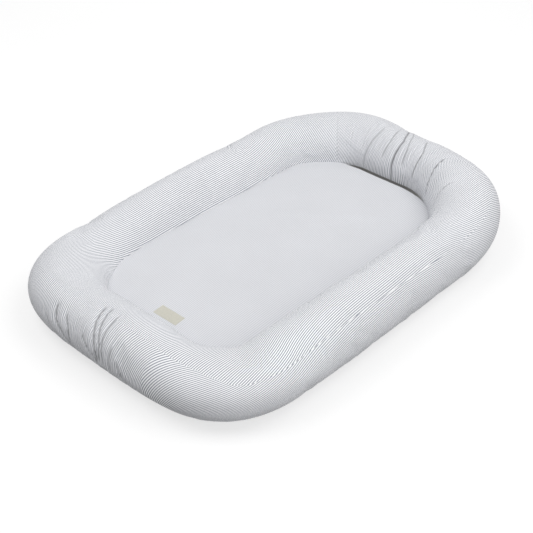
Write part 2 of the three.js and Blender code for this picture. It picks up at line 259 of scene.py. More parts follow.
@dataclass(frozen=True)
class UvBand:
    """Cut-pattern coordinates of some rows of faces of a ring-shaped cloth.

    Attributes:
        first: First row of faces.
        last: Row of faces after the last one.
        coordinates: Column, row and (along, across) in metres; a ring's first column comes again at the end.
    """

    first: int
    last: int
    coordinates: Array


def grid_faces(columns: int, rows: int, ring: bool, tube: bool) -> Array:
    """Corners of the four-sided faces between the points of a grid.

    Args:
        columns: Columns of points.
        rows: Rows of points.
        ring: Whether the last column joins the first.
        tube: Whether the last row joins the first.

    Returns:
        Column, row and the four corners' numbers.
    """
    across, down = columns if ring else columns - 1, rows if tube else rows - 1
    i, j = np.meshgrid(np.arange(across), np.arange(down), indexing="ij")
    k, m = (i + 1) % columns, (j + 1) % rows
    return np.stack([i * rows + j, i * rows + m, k * rows + m, k * rows + j], axis=-1)


def grid_piece(
    name: str,
    points: Array,
    ring: bool = True,
    tube: bool = False,
    caps: Sequence[Sequence[int]] = (),
    bands: Sequence[UvBand] = (),
    fold: Array | None = None,
) -> bpy.types.Object:
    """Makes a smooth mesh from columns of points.

    Args:
        name: Name of the piece.
        points: Column, row and place in millimetres.
        ring: Whether the last column joins the first.
        tube: Whether the last row joins the first.
        caps: More faces, as lists of point numbers.
        bands: Cut-pattern coordinates; without them the piece has none.
        fold: How deep each point lies in a crease, or in the shade of the head gap, from 0 to 1; the
            materials paint shade by it.

    Returns:
        The piece as an object.
    """
    columns, rows = points.shape[:2]
    faces = grid_faces(columns, rows, ring, tube)
    mesh = bpy.data.meshes.new(name)
    corners = faces.reshape(-1, 4).tolist() + [list(cap) for cap in caps]
    mesh.from_pydata((points.reshape(-1, 3) * MM).tolist(), [], corners)
    if bands:
        layer = mesh.uv_layers.new(name="cut")
        flat = np.zeros((*faces.shape[:2], 4, 2))
        for band in bands:
            uv = band.coordinates
            low, high = uv[:, band.first : band.last], uv[:, band.first + 1 : band.last + 1]
            flat[:, band.first : band.last] = np.stack([low[:-1], high[:-1], high[1:], low[1:]], axis=2)
        layer.data.foreach_set("uv", flat.reshape(-1).astype(np.float32))
    if fold is not None:
        attribute = mesh.attributes.new("fold", "FLOAT", "POINT")
        attribute.data.foreach_set("value", fold.reshape(-1).astype(np.float32))
    mesh.polygons.foreach_set("use_smooth", np.ones(len(mesh.polygons), dtype=bool))
    mesh.update()
    return new_object(name, mesh)


def thicken(piece: bpy.types.Object, thickness: float) -> None:
    """Gives a cloth its thickness, away from the side that its faces look to.

    Args:
        piece: The piece.
        thickness: Millimetres of cloth.
    """
    solidify = piece.modifiers.new("thickness", "SOLIDIFY")
    solidify.thickness = thickness * MM
    solidify.offset = -1.0
    apply_modifiers(piece)
    select_only(piece)
    bpy.ops.object.shade_smooth_by_angle(angle=math.radians(CLOTH_EDGE))


# Finishes


def new_material(name: str) -> tuple[bpy.types.Material, bpy.types.NodeTree]:
    """Makes a material with an empty node tree.

    Args:
        name: What the material is.

    Returns:
        The material and its tree.
    """
    made = bpy.data.materials.new(name)
    made.use_nodes = True
    made.node_tree.nodes.clear()
    return made, made.node_tree


def add_weave(
    tree: bpy.types.NodeTree, place: Any, thread: float, ribs: float, slub: tuple[float, float, float]
) -> bpy.types.Node:
    """Adds the relief of a plain weave, with threads of uneven thickness.

    Args:
        tree: Node tree that gets it.
        place: Link of the coordinates, in metres.
        thread: Millimetres from thread to thread.
        ribs: Threads across for each thread along.
        slub: Scale, detail and height of the unevenness.

    Returns:
        The node that gives the relief.
    """
    part = add_node(tree, "ShaderNodeSeparateXYZ", {0: place})
    turns = 2 * math.pi / (thread * MM)
    along = add_node(tree, "ShaderNodeMath", {0: (part, 0), 1: turns}, operation="MULTIPLY")
    across = add_node(tree, "ShaderNodeMath", {0: (part, 1), 1: turns * ribs}, operation="MULTIPLY")
    first = add_node(tree, "ShaderNodeMath", {0: (along, 0)}, operation="SINE")
    second = add_node(tree, "ShaderNodeMath", {0: (across, 0)}, operation="SINE")
    weave = add_node(tree, "ShaderNodeMath", {0: (first, 0), 1: (second, 0)}, operation="MULTIPLY")
    scale, detail, height = slub
    uneven = add_node(tree, "ShaderNodeTexNoise", {"Vector": place, "Scale": scale, "Detail": detail})
    return add_node(
        tree,
        "ShaderNodeMath",
        {0: (uneven, 0), 1: height, 2: (weave, 0)},
        operation="MULTIPLY_ADD",
    )


@dataclass(frozen=True)
class StripedCotton:
    """Yarn-dyed cotton poplin: matt white, with fine grey-blue pinstripes and a soft nap."""

    white: str = "#f1f1f3"
    stripe: str = "#6f7684"
    pitch: float = 3.85  # millimetres from stripe to stripe
    contrast: float = 0.88  # of the stripes; the mat's foreshortened ones blur into the ground
    stripe_share: float = 0.36
    stripe_softness: float = 0.035
    wander: float = 0.6  # millimetres by which the stripes drift
    thread: float = 0.8  # the real 0.35 mm yarn is too fine to show, so it is drawn coarser
    nap_roughness: float = 0.55
    bunched_fold: float = 0.24  # the fold share at which the stripes are blurred most
    bunched_blur: float = 0.9
    painted_shade_folds: tuple[float, float] = (0.22, 0.95)  # the fold shares between which painted shade darkens the cloth
    painted_shade_light: float = 0.4  # the light left by the painted shade in the deepest fold

    def build(self) -> bpy.types.Material:
        """Makes the material, whose stripes follow the cut pattern and blur in the folds, where painted shade
        darkens the cloth.

        Returns:
            The material.
        """
        made, tree = new_material("cotton poplin, woven pinstripe")
        cut = add_node(tree, "ShaderNodeUVMap", uv_map="cut")
        line = self._line(tree, cut)
        relief = add_weave(tree, (cut, 0), self.thread, 1.0, (420.0, 3.0, 1.6))
        bump = add_node(
            tree,
            "ShaderNodeBump",
            {"Height": (relief, 0), "Strength": 0.35, "Distance": 0.12 * MM},
        )
        mottle = add_node(tree, "ShaderNodeTexNoise", {"Vector": (cut, 0), "Scale": 9.0, "Detail": 4.0})
        tone = add_node(
            tree,
            "ShaderNodeMapRange",
            {"Value": (mottle, 0), "From Min": 0.3, "From Max": 0.7, "To Min": 0.965, "To Max": 1.0},
        )
        white, stripe = np.array(linear(self.white)), np.array(linear(self.stripe))
        blurred = white + (stripe - white) * self.stripe_share
        pair = [tuple((blurred + (colour - blurred) * self.contrast).tolist()) for colour in (white, stripe)]
        stripes = add_node(tree, "ShaderNodeMix", {0: (line, 0), 6: pair[0], 7: pair[1]}, data_type="RGBA")
        fold = add_node(tree, "ShaderNodeAttribute", attribute_name="fold")
        bunched = add_node(
            tree,
            "ShaderNodeMapRange",
            {
                "Value": (fold, 2),
                "From Min": 0.0,
                "From Max": self.bunched_fold,
                "To Min": 0.0,
                "To Max": self.bunched_blur,
            },
        )
        gathered = add_node(
            tree,
            "ShaderNodeMix",
            {0: (bunched, 0), 6: (stripes, 2), 7: tuple(blurred.tolist())},
            data_type="RGBA",
        )
        toned = add_node(
            tree,
            "ShaderNodeMix",
            {0: 1.0, 6: (gathered, 2), 7: (tone, 0)},
            data_type="RGBA",
            blend_type="MULTIPLY",
        )
        # painted shade: the cloth darkens with the fold share, deepest in the creases
        shade = add_node(
            tree,
            "ShaderNodeMapRange",
            {
                "Value": (fold, 2),
                "From Min": self.painted_shade_folds[0],
                "From Max": self.painted_shade_folds[1],
                "To Min": 1.0,
                "To Max": self.painted_shade_light,
            },
        )
        shaded_in_folds = add_node(
            tree,
            "ShaderNodeMix",
            {0: 1.0, 6: (toned, 2), 7: (shade, 0)},
            data_type="RGBA",
            blend_type="MULTIPLY",
        )
        shader = add_node(
            tree,
            "ShaderNodeBsdfPrincipled",
            {
                "Base Color": (shaded_in_folds, 2),
                "Roughness": 0.9,
                "Specular IOR Level": 0.25,
                "Sheen Weight": 0.12,
                "Sheen Roughness": self.nap_roughness,
                "Normal": (bump, 0),
            },
        )
        add_node(tree, "ShaderNodeOutputMaterial", {"Surface": (shader, 0)})
        return made

    def _line(self, tree: bpy.types.NodeTree, cut: bpy.types.Node) -> bpy.types.Node:
        """Adds the stripes, which drift a little as woven ones do.

        Args:
            tree: Node tree that gets them.
            cut: Node of the cut-pattern coordinates.

        Returns:
            The node that gives 1 on a stripe and 0 beside it.
        """
        drift = add_node(
            tree,
            "ShaderNodeMath",
            {
                0: (add_node(tree, "ShaderNodeTexNoise", {"Vector": (cut, 0), "Scale": 22.0}), 0),
                1: self.wander * MM,
            },
            operation="MULTIPLY",
        )
        part = add_node(tree, "ShaderNodeSeparateXYZ", {0: (cut, 0)})
        across = add_node(tree, "ShaderNodeMath", {0: (part, 1), 1: (drift, 0)}, operation="ADD")
        turns = add_node(
            tree,
            "ShaderNodeMath",
            {0: (across, 0), 1: 1 / (self.pitch * MM)},
            operation="MULTIPLY",
        )
        wave = add_node(tree, "ShaderNodeMath", {0: (turns, 0), 1: 0.5}, operation="PINGPONG")
        edge = self.stripe_share / 2
        span = (edge - self.stripe_softness, edge + self.stripe_softness)
        return add_node(
            tree,
            "ShaderNodeMapRange",
            {
                "Value": (wave, 0),
                "From Min": span[0],
                "From Max": span[1],
                "To Min": 1.0,
                "To Max": 0.0,
            },
            interpolation_type="SMOOTHSTEP",
        )


@dataclass(frozen=True)
class PlainCloth:
    """Plain woven cloth, such as lining or tape: matt, with a fine checked weave.

    Attributes:
        name: What the cloth is.
        colour: Its colour.
        shadow: Colour between its threads.
        thread: Millimetres from thread to thread, drawn coarser than the real 0.3 mm.
        ribs: Threads across for each thread along; above 1 the cloth looks ribbed.
        painted_shade_light: The light left by the painted shade where the fold share is 1.
    """

    name: str
    colour: str
    shadow: str
    thread: float
    ribs: float = 1.0
    painted_shade_light: float = 0.3

    def build(self) -> bpy.types.Material:
        """Makes the material on object coordinates.

        Returns:
            The material.
        """
        made, tree = new_material(self.name)
        place = add_node(tree, "ShaderNodeTexCoord")
        relief = add_weave(tree, (place, "Object"), self.thread, self.ribs, (260.0, 4.0, 1.4))
        mask = add_node(
            tree,
            "ShaderNodeMapRange",
            {"Value": (relief, 0), "From Min": -0.6, "From Max": 1.6, "To Min": 0.0, "To Max": 1.0},
        )
        colour = add_node(
            tree,
            "ShaderNodeMix",
            {0: (mask, 0), 6: linear(self.shadow), 7: linear(self.colour)},
            data_type="RGBA",
        )
        # painted shade: the cloth darkens by its fold share, which is set where it lies in shade
        fold = add_node(tree, "ShaderNodeAttribute", attribute_name="fold")
        shade = add_node(
            tree,
            "ShaderNodeMapRange",
            {
                "Value": (fold, 2),
                "From Min": 0.0,
                "From Max": 1.0,
                "To Min": 1.0,
                "To Max": self.painted_shade_light,
            },
        )
        shaded = add_node(
            tree,
            "ShaderNodeMix",
            {0: 1.0, 6: (colour, 2), 7: (shade, 0)},
            data_type="RGBA",
            blend_type="MULTIPLY",
        )
        bump = add_node(
            tree,
            "ShaderNodeBump",
            {"Height": (relief, 0), "Strength": 0.5, "Distance": 0.15 * MM},
        )
        shader = add_node(
            tree,
            "ShaderNodeBsdfPrincipled",
            {
                "Base Color": (shaded, 2),
                "Roughness": 0.88,
                "Specular IOR Level": 0.25,
                "Sheen Weight": 0.15,
                "Sheen Roughness": 0.5,
                "Normal": (bump, 0),
            },
        )
        add_node(tree, "ShaderNodeOutputMaterial", {"Surface": (shader, 0)})
        return made


@dataclass(frozen=True)
class FibreFilling:
    """Carded polyester fibre: bright white, soft, with tangled strands and painted shade in its small
    hollows.
    """

    colour: str = "#f6f5f1"
    # painted shade of the small hollows
    painted_hollow_shade: str = "#d9d8d3"
    strand: float = 2.5  # millimetres; real strands are far finer, so tufts are drawn
    tuft: float = 15.0  # millimetres

    def build(self) -> bpy.types.Material:
        """Makes the material on object coordinates.

        Returns:
            The material.
        """
        made, tree = new_material("polyester fibre filling, carded")
        place = (add_node(tree, "ShaderNodeTexCoord"), "Object")
        tuft = add_node(
            tree,
            "ShaderNodeTexNoise",
            {"Vector": place, "Scale": 1 / (self.tuft * MM), "Detail": 6.0, "Distortion": 1.8},
        )
        strands = add_node(
            tree,
            "ShaderNodeTexNoise",
            {"Vector": place, "Scale": 1 / (self.strand * MM), "Detail": 8.0, "Distortion": 3.0},
        )
        relief = add_node(
            tree,
            "ShaderNodeMath",
            {0: (strands, 0), 1: 0.5, 2: (tuft, 0)},
            operation="MULTIPLY_ADD",
        )
        # painted shade: the low parts of the relief get the darker colour
        mask = add_node(
            tree,
            "ShaderNodeMapRange",
            {"Value": (relief, 0), "From Min": 0.5, "From Max": 0.95, "To Min": 0.0, "To Max": 1.0},
        )
        colour = add_node(
            tree,
            "ShaderNodeMix",
            {0: (mask, 0), 6: linear(self.painted_hollow_shade), 7: linear(self.colour)},
            data_type="RGBA",
        )
        bump = add_node(
            tree,
            "ShaderNodeBump",
            {"Height": (relief, 0), "Strength": 0.8, "Distance": 1.5 * MM},
        )
        shader = add_node(
            tree,
            "ShaderNodeBsdfPrincipled",
            {
                "Base Color": (colour, 2),
                "Roughness": 1.0,
                "Specular IOR Level": 0.1,
                "Sheen Weight": 0.3,
                "Sheen Roughness": 0.6,
                "Normal": (bump, 0),
            },
        )
        add_node(tree, "ShaderNodeOutputMaterial", {"Surface": (shader, 0)})
        return made


@dataclass(frozen=True)
class LabelCloth:
    """Damask-woven ribbon: olive-beige satin with a faint diagonal twill and a slightly darker ground."""

    colour: str = "#cbc9bd"
    ground: str = "#b3b1a6"
    twill: float = 0.9  # millimetres from rib to rib; the real 0.4 mm is too fine to show

    def build(self) -> bpy.types.Material:
        """Makes the material on the piece's own coordinates.

        Returns:
            The material.
        """
        made, tree = new_material("damask ribbon, woven")
        cut = add_node(tree, "ShaderNodeUVMap", uv_map="cut")
        part = add_node(tree, "ShaderNodeSeparateXYZ", {0: (cut, 0)})
        slope = add_node(tree, "ShaderNodeMath", {0: (part, 0), 1: (part, 1)}, operation="ADD")
        phase = add_node(
            tree,
            "ShaderNodeMath",
            {0: (slope, 0), 1: 2 * math.pi / (self.twill * MM)},
            operation="MULTIPLY",
        )
        ribs = add_node(tree, "ShaderNodeMath", {0: (phase, 0)}, operation="SINE")
        slub = add_node(tree, "ShaderNodeTexNoise", {"Vector": (cut, 0), "Scale": 300.0, "Detail": 4.0})
        relief = add_node(
            tree,
            "ShaderNodeMath",
            {0: (slub, 0), 1: 2.0, 2: (ribs, 0)},
            operation="MULTIPLY_ADD",
        )
        mask = add_node(
            tree,
            "ShaderNodeMapRange",
            {"Value": (relief, 0), "From Min": -0.2, "From Max": 2.0, "To Min": 0.0, "To Max": 1.0},
        )
        colour = add_node(
            tree,
            "ShaderNodeMix",
            {0: (mask, 0), 6: linear(self.ground), 7: linear(self.colour)},
            data_type="RGBA",
        )
        bump = add_node(
            tree,
            "ShaderNodeBump",
            {"Height": (relief, 0), "Strength": 0.4, "Distance": 0.1 * MM},
        )
        shader = add_node(
            tree,
            "ShaderNodeBsdfPrincipled",
            {
                "Base Color": (colour, 2),
                "Roughness": 0.7,
                "Specular IOR Level": 0.35,
                "Sheen Weight": 0.1,
                "Normal": (bump, 0),
            },
        )
        add_node(tree, "ShaderNodeOutputMaterial", {"Surface": (shader, 0)})
        return made


@dataclass(frozen=True)
class NylonCoil:
    """Extruded nylon monofilament: milky white, smooth, with a soft broad shine."""

    colour: str = "#e8e8ea"
    dull: str = "#d3d4d8"

    def build(self) -> bpy.types.Material:
        """Makes the material on object coordinates.

        Returns:
            The material.
        """
        made, tree = new_material("nylon monofilament, extruded")
        place = (add_node(tree, "ShaderNodeTexCoord"), "Object")
        cloud = add_node(tree, "ShaderNodeTexNoise", {"Vector": place, "Scale": 90.0, "Detail": 3.0})
        colour = add_node(
            tree,
            "ShaderNodeMix",
            {0: (cloud, 0), 6: linear(self.dull), 7: linear(self.colour)},
            data_type="RGBA",
        )
        rough = add_node(
            tree,
            "ShaderNodeMapRange",
            {"Value": (cloud, 0), "From Min": 0.3, "From Max": 0.7, "To Min": 0.32, "To Max": 0.5},
        )
        shader = add_node(
            tree,
            "ShaderNodeBsdfPrincipled",
            {"Base Color": (colour, 2), "Roughness": (rough, 0), "IOR": 1.53},
        )
        add_node(tree, "ShaderNodeOutputMaterial", {"Surface": (shader, 0)})
        return made


@dataclass(frozen=True)
class DiecastMetal:
    """Die-cast zinc with a satin nickel coat: pale grey metal with fine casting grain and rubbed patches."""

    colour: str = "#c3c5c8"
    rubbed: str = "#dcddde"
    grain: float = 0.5  # millimetres

    def build(self) -> bpy.types.Material:
        """Makes the material on object coordinates.

        Returns:
            The material.
        """
        made, tree = new_material("zinc alloy, die-cast and nickel-plated")
        place = (add_node(tree, "ShaderNodeTexCoord"), "Object")
        grain = add_node(
            tree,
            "ShaderNodeTexNoise",
            {"Vector": place, "Scale": 1 / (self.grain * MM), "Detail": 4.0},
        )
        patch = add_node(tree, "ShaderNodeTexNoise", {"Vector": place, "Scale": 240.0})
        colour = add_node(
            tree,
            "ShaderNodeMix",
            {0: (patch, 0), 6: linear(self.colour), 7: linear(self.rubbed)},
            data_type="RGBA",
        )
        rough = add_node(
            tree,
            "ShaderNodeMapRange",
            {"Value": (patch, 0), "From Min": 0.3, "From Max": 0.7, "To Min": 0.22, "To Max": 0.42},
        )
        bump = add_node(
            tree,
            "ShaderNodeBump",
            {"Height": (grain, 0), "Strength": 0.15, "Distance": 0.05 * MM},
        )
        shader = add_node(
            tree,
            "ShaderNodeBsdfPrincipled",
            {
                "Base Color": (colour, 2),
                "Metallic": 1.0,
                "Roughness": (rough, 0),
                "Normal": (bump, 0),
            },
        )
        add_node(tree, "ShaderNodeOutputMaterial", {"Surface": (shader, 0)})
        return made


@dataclass(frozen=True)
class StudioBoard:
    """Opal acrylic of a product table, lit from below: a plain pale floor on which shadows stay faint."""

    colour: str = "#a6a6a6"
    glow: float = 0.605

    def build(self) -> bpy.types.Material:
        """Makes the material on object coordinates.

        Returns:
            The material.
        """
        made, tree = new_material("acrylic sheet, opal and lit from below")
        cloud = add_node(
            tree,
            "ShaderNodeTexNoise",
            {"Vector": (add_node(tree, "ShaderNodeTexCoord"), "Object"), "Scale": 3.0},
        )
        rough = add_node(
            tree,
            "ShaderNodeMapRange",
            {"Value": (cloud, 0), "From Min": 0.3, "From Max": 0.7, "To Min": 0.92, "To Max": 1.0},
        )
        shader = add_node(
            tree,
            "ShaderNodeBsdfPrincipled",
            {
                "Base Color": linear(self.colour),
                "Roughness": (rough, 0),
                "Specular IOR Level": 0.0,
                "Emission Color": (1.0, 1.0, 1.0, 1.0),
                "Emission Strength": self.glow,
            },
        )
        add_node(tree, "ShaderNodeOutputMaterial", {"Surface": (shader, 0)})
        return made


LINING = PlainCloth("cotton voile lining, woven", "#f1f0ec", "#dddcd8", 1.1)
TAPE = PlainCloth("polyester zip tape, ribbed weave", "#ededee", "#cfd0d3", 0.9, 2.0)


@dataclass
class Finishes:
    """All materials of the lounger, made once."""

    cotton: bpy.types.Material = field(default_factory=StripedCotton().build)
    mat_cotton: bpy.types.Material = field(default_factory=StripedCotton(contrast=0.2).build)
    lining: bpy.types.Material = field(default_factory=LINING.build)
    filling: bpy.types.Material = field(default_factory=FibreFilling().build)
    label: bpy.types.Material = field(default_factory=LabelCloth().build)
    tape: bpy.types.Material = field(default_factory=TAPE.build)
    coil: bpy.types.Material = field(default_factory=NylonCoil().build)
    metal: bpy.types.Material = field(default_factory=DiecastMetal().build)
    board: bpy.types.Material = field(default_factory=StudioBoard().build)


# Shape of the ring


@dataclass(frozen=True)
class RingSizes:
    """Plan and section of the stuffed ring, in millimetres and degrees, as in the solids."""

    length: float = 916.0
    width: float = 608.0
    bolster_width: float = 127.0
    corner_fullness: float = 18.0
    end_waist: float = 10.0
    foot_right_radius: float = 128.0
    head_right_radius: float = 200.0
    head_left_radius: float = 183.0
    foot_left_radius: float = 150.0
    side_height: float = 112.0
    head_height: float = 140.0
    foot_height: float = 103.0
    floor_cut: float = 0.5
    power: float = 0.92
    rise_start: float = 0.3
    rise_end: float = 0.9
    side_crest: float = 48.0
    foot_crest: float = 77.0
    crest_turn: float = 63.0
    seam_tuck: float = 5.0
    tuck_start: float = 160.0
    gap_run: tuple[float, float, float, float] = (925.0, 1085.0, 1215.0, 1288.0)  # millimetres of centreline
    corner_fill: float = 13.0  # the sleeve's inner side is fuller at the far left corner
    corner_fill_place: tuple[float, float] = (1975.0, 75.0)  # its middle and reach along the centreline
    mat_seam_height: float = 60.0
    base_bottom: float = 8.0
    floor_half_angle: float = 7.0

    @property
    def half_length(self) -> float:
        """Half the length of the centreline."""
        return (self.length - self.bolster_width) / 2

    @property
    def half_width(self) -> float:
        """Half the width of the centreline."""
        return (self.width - self.bolster_width) / 2


@dataclass
class Stations:
    """Places on the ring's centreline, as arrays."""

    along: Array
    x: Array
    y: Array
    out_x: Array
    out_y: Array
    half_width: Array
    half_height: Array
    crest: Array

    def spread(self) -> "Stations":
        """The same stations with one row each, to meet rows of points."""
        return Stations(*(getattr(self, name)[:, None] for name in self.__dataclass_fields__))


class Ring:
    """The stuffed ring: places round it and points on its section."""

    def __init__(self, sizes: RingSizes) -> None:
        """Lays out the runs and corners, anticlockwise from the foot end's middle.

        Args:
            sizes: Its sizes.
        """
        self.sizes = sizes
        length, width = sizes.half_length, sizes.half_width
        radii = (
            sizes.foot_right_radius,
            sizes.head_right_radius,
            sizes.head_left_radius,
            sizes.foot_left_radius,
        )
        signs = ((-1, -1), (1, -1), (1, 1), (-1, 1))
        centres = [(sx * (length - r), sy * (width - r)) for r, (sx, sy) in zip(radii, signs)]
        runs = (
            -centres[0][1],
            centres[1][0] - centres[0][0],
            centres[2][1] - centres[1][1],
            centres[2][0] - centres[3][0],
            centres[3][1],
        )
        self._parts: list[tuple[float, float, float, float, float, float]] = []
        start, angle = 0.0, math.pi
        x, y = -length, 0.0
        for index, run in enumerate(runs):
            self._parts.append((start, run, x, y, angle, 0.0))
            x, y = x - math.sin(angle) * run, y + math.cos(angle) * run
            start += run
            if index < len(radii):
                radius = radii[index]
                self._parts.append((start, radius * math.pi / 2, *centres[index], angle, radius))
                angle += math.pi / 2
                start += radius * math.pi / 2
                x = centres[index][0] + radius * math.cos(angle)
                y = centres[index][1] + radius * math.sin(angle)
        self.total = start
        self.head_middle = self._parts[4][0] - self._parts[4][3]

    def stations(self, along: Array) -> Stations:
        """Gives the stations at some places round the ring.

        Args:
            along: Millimetres of centreline from the foot end's middle.

        Returns:
            The stations.
        """
        size = self.sizes
        around = np.mod(along, self.total)
        x, y, out, full = (np.zeros_like(around) for _ in range(4))
        for start, run, px, py, angle, radius in self._parts:
            here = (around >= start) & (around <= start + run + 1e-9)
            step = around[here] - start
            if radius:
                turn = step / radius
                out[here] = angle + turn
                x[here], y[here] = px + radius * np.cos(angle + turn), py + radius * np.sin(angle + turn)
                full[here] = size.corner_fullness * np.sin(2 * turn) ** 2
            else:
                out[here] = angle
                x[here], y[here] = px - math.sin(angle) * step, py + math.cos(angle) * step
        out_x, out_y = np.cos(out), np.sin(out)
        waist = size.end_waist * (1 - (y / size.half_width) ** 2) * np.abs(out_x)
        rise = smoothstep(np.abs(x) / size.half_length, size.rise_start, size.rise_end)
        end_height = np.where(x > 0, size.head_height, size.foot_height)
        climb = smoothstep(-x, size.half_length - size.crest_turn, size.half_length)
        crest = np.radians(size.side_crest + (size.foot_crest - size.side_crest) * climb)
        half_height = (size.side_height + (end_height - size.side_height) * rise) / 2
        half_width = (size.bolster_width + full) / 2
        return Stations(around, x - np.sign(x) * waist, y, out_x, out_y, half_width, half_height, crest)

    def angle_at(self, at: Stations, height: Array | float) -> Array:
        """Angle on the outer half of the section at which it passes a height."""
        share = (height + self.sizes.floor_cut - at.half_height) / at.half_height
        return np.arcsin(np.clip(power_of(share, 1 / self.sizes.power), -1, 1))

    def seam_angle(self, at: Stations) -> Array:
        """Angle of the mat seam."""
        return math.pi - self.angle_at(at, self.sizes.mat_seam_height)

    def leave_angle(self, at: Stations) -> Array:
        """Angle at which the base sheet leaves the underside of the bolster."""
        return -math.pi - self.angle_at(at, self.sizes.base_bottom)

    def wall_place(self, at: Stations) -> Array:
        """Distance of the channel wall's face from the centreline."""
        return self.sizes.seam_tuck - at.half_width

    @staticmethod
    def place(at: Stations, out: Array, height: Array | float) -> Array:
        """Points at a distance out of the ring and a height, one for each station and row."""
        flat = np.broadcast_arrays(at.x + at.out_x * out, at.y + at.out_y * out, height)
        return np.stack(flat, axis=-1)

    def corner_filling(self, at: Stations) -> Array:
        """How far the inner side stands into the mat's place at the far left corner, in millimetres."""
        middle, reach = self.sizes.corner_fill_place
        return self.sizes.corner_fill * np.exp(-(((at.along - middle) / reach) ** 2))

    def head_gap(self, at: Stations) -> Array:
        """How far the mat stands off the sleeve: 1 along the head end, 0 where they touch."""
        start, full, last, end = self.sizes.gap_run
        return smoothstep(at.along, start, full) * (1 - smoothstep(at.along, last, end))

    def surface(
        self,
        at: Stations,
        angles: Array,
        depth: float = 0.0,
        walled: bool = False,
        tucked: Array | float = 1.0,
    ) -> Array:
        """Points of the section below the cover's outer face.

        Args:
            at: Stations, one for each column.
            angles: Column and row, in radians.
            depth: Millimetres below the face.
            walled: Whether the inner side stops at the channel wall all the way down.
            tucked: Share of the seam's tuck, one for each column.

        Returns:
            Column, row and place.
        """
        size = self.sizes
        tuck = size.seam_tuck * np.reshape(tucked, (-1, 1))
        wide = (at.half_width[:, None] - depth) * power_of(np.cos(angles), size.power)
        high = (at.half_height[:, None] - depth) * power_of(np.sin(angles), size.power)
        seam = self.seam_angle(at)[:, None]
        start = math.radians(size.tuck_start)
        out = wide + tuck * smoothstep(angles, start, np.maximum(seam, start + 1e-3))
        wall = self.wall_place(at)[:, None] + depth
        behind = (angles > seam) | (walled & (np.cos(angles) < 0))
        out = np.where(behind, np.maximum(out, wall), out)
        height = np.maximum(at.half_height[:, None] + high - size.floor_cut, depth)
        return self.place(at.spread(), out, height)


# Creases, gathers and stuffing


@dataclass(frozen=True)
class Crease:
    """A crease of the cover.

    Attributes:
        end: End of the lounger that it is counted from.
        path: Angles on the section in degrees, rising, each with millimetres along the ring from the end's
            middle.
        depth: How deep it lies.
        width: Half width of its valley.
    """

    end: End
    path: tuple[tuple[float, float], ...]
    depth: float
    width: float


CREASES = (
    Crease(End.HEAD, ((62, 17), (70, 14), (105, -3), (130, -4), (167, -4), (190, -8)), 5.0, 1.7),
    Crease(End.HEAD, ((100, 55), (129, 59), (157, 67), (180, 71)), 2.6, 1.5),
    Crease(End.HEAD, ((85, -43), (115, -63), (139, -67), (165, -67)), 3.2, 1.5),
    Crease(End.HEAD, ((100, -115), (128, -127), (145, -139), (170, -153)), 3.4, 1.6),
    Crease(End.HEAD, ((116, -214), (136, -226), (158, -250)), 2.4, 1.6),
    Crease(End.HEAD, ((96, 171), (139, 167), (178, 162)), 1.4, 1.6),
    Crease(End.HEAD, ((66, 4), (88, -10), (120, -24), (150, -28)), 2.6, 1.5),
    Crease(End.HEAD, ((84, 28), (120, 20), (150, 22)), 2.6, 1.5),
    Crease(End.FOOT, ((-8, -118), (1, -120), (9, -123), (14, -126)), 2.4, 1.3),
    Crease(End.FOOT, ((-24, -74), (-18, -76), (1, -92), (18, -104), (44, -113)), 4.0, 1.5),
    Crease(End.FOOT, ((-22, -71), (-15, -72), (17, -76), (38, -89)), 3.6, 1.4),
    Crease(End.FOOT, ((-14, -4), (-6, -8), (4, -24), (20, -38)), 3.4, 1.4),
    Crease(End.FOOT, ((-6, -3), (7, -4), (36, -16), (58, -28), (82, -37)), 4.4, 1.5),
    Crease(End.FOOT, ((-2, 6), (22, 4), (53, -12), (86, -25)), 3.8, 1.4),
    Crease(End.FOOT, ((-4, 14), (11, 12), (46, 4), (80, 0)), 3.0, 1.4),
    Crease(End.FOOT, ((-12, 32), (1, 32), (28, 32)), 2.8, 1.4),
    Crease(End.FOOT, ((-14, 58), (-7, 56), (6, 52)), 2.2, 1.4),
)


@dataclass(frozen=True)
class Bunch:
    """Where the gathers of an end bunch the cloth, and how.

    Attributes:
        end: The end.
        place: Middle along the ring, in millimetres from the end's middle.
        run: Reach along the ring, in millimetres.
        middle: Middle on the section, in degrees.
        reach: Reach over the section, in degrees.
        ridges: Height of the fine ridges, in millimetres.
        fold: Fold share that it gives the cloth.
    """

    end: End
    place: float
    run: float
    middle: float
    reach: float
    ridges: float
    fold: float


BUNCHES = (
    Bunch(End.HEAD, -60.0, 190.0, 128.0, 44.0, 0.75, 0.15),
    Bunch(End.FOOT, -25.0, 95.0, 14.0, 42.0, 0.7, 0.08),
)

# Where the ring is fuller or slacker than the plain section: millimetres of centreline, millimetres outwards
SWELLS = (
    (0, 2.0), (95, 0.0), (150, -4.5), (225, -5.0), (300, -0.5), (420, 1.8), (600, -1.0), (760, -5.0),
    (850, -4.0), (930, -3.6), (1060, -2.6), (1140, -1.5), (1235, 4.5), (1345, -4.5), (1385, -4.0),
    (1440, 0.0), (1580, 8.0), (1680, 6.5), (1830, 1.5), (1930, -1.8), (2025, 2.4), (2110, -1.5), (2190, 0.5),
)


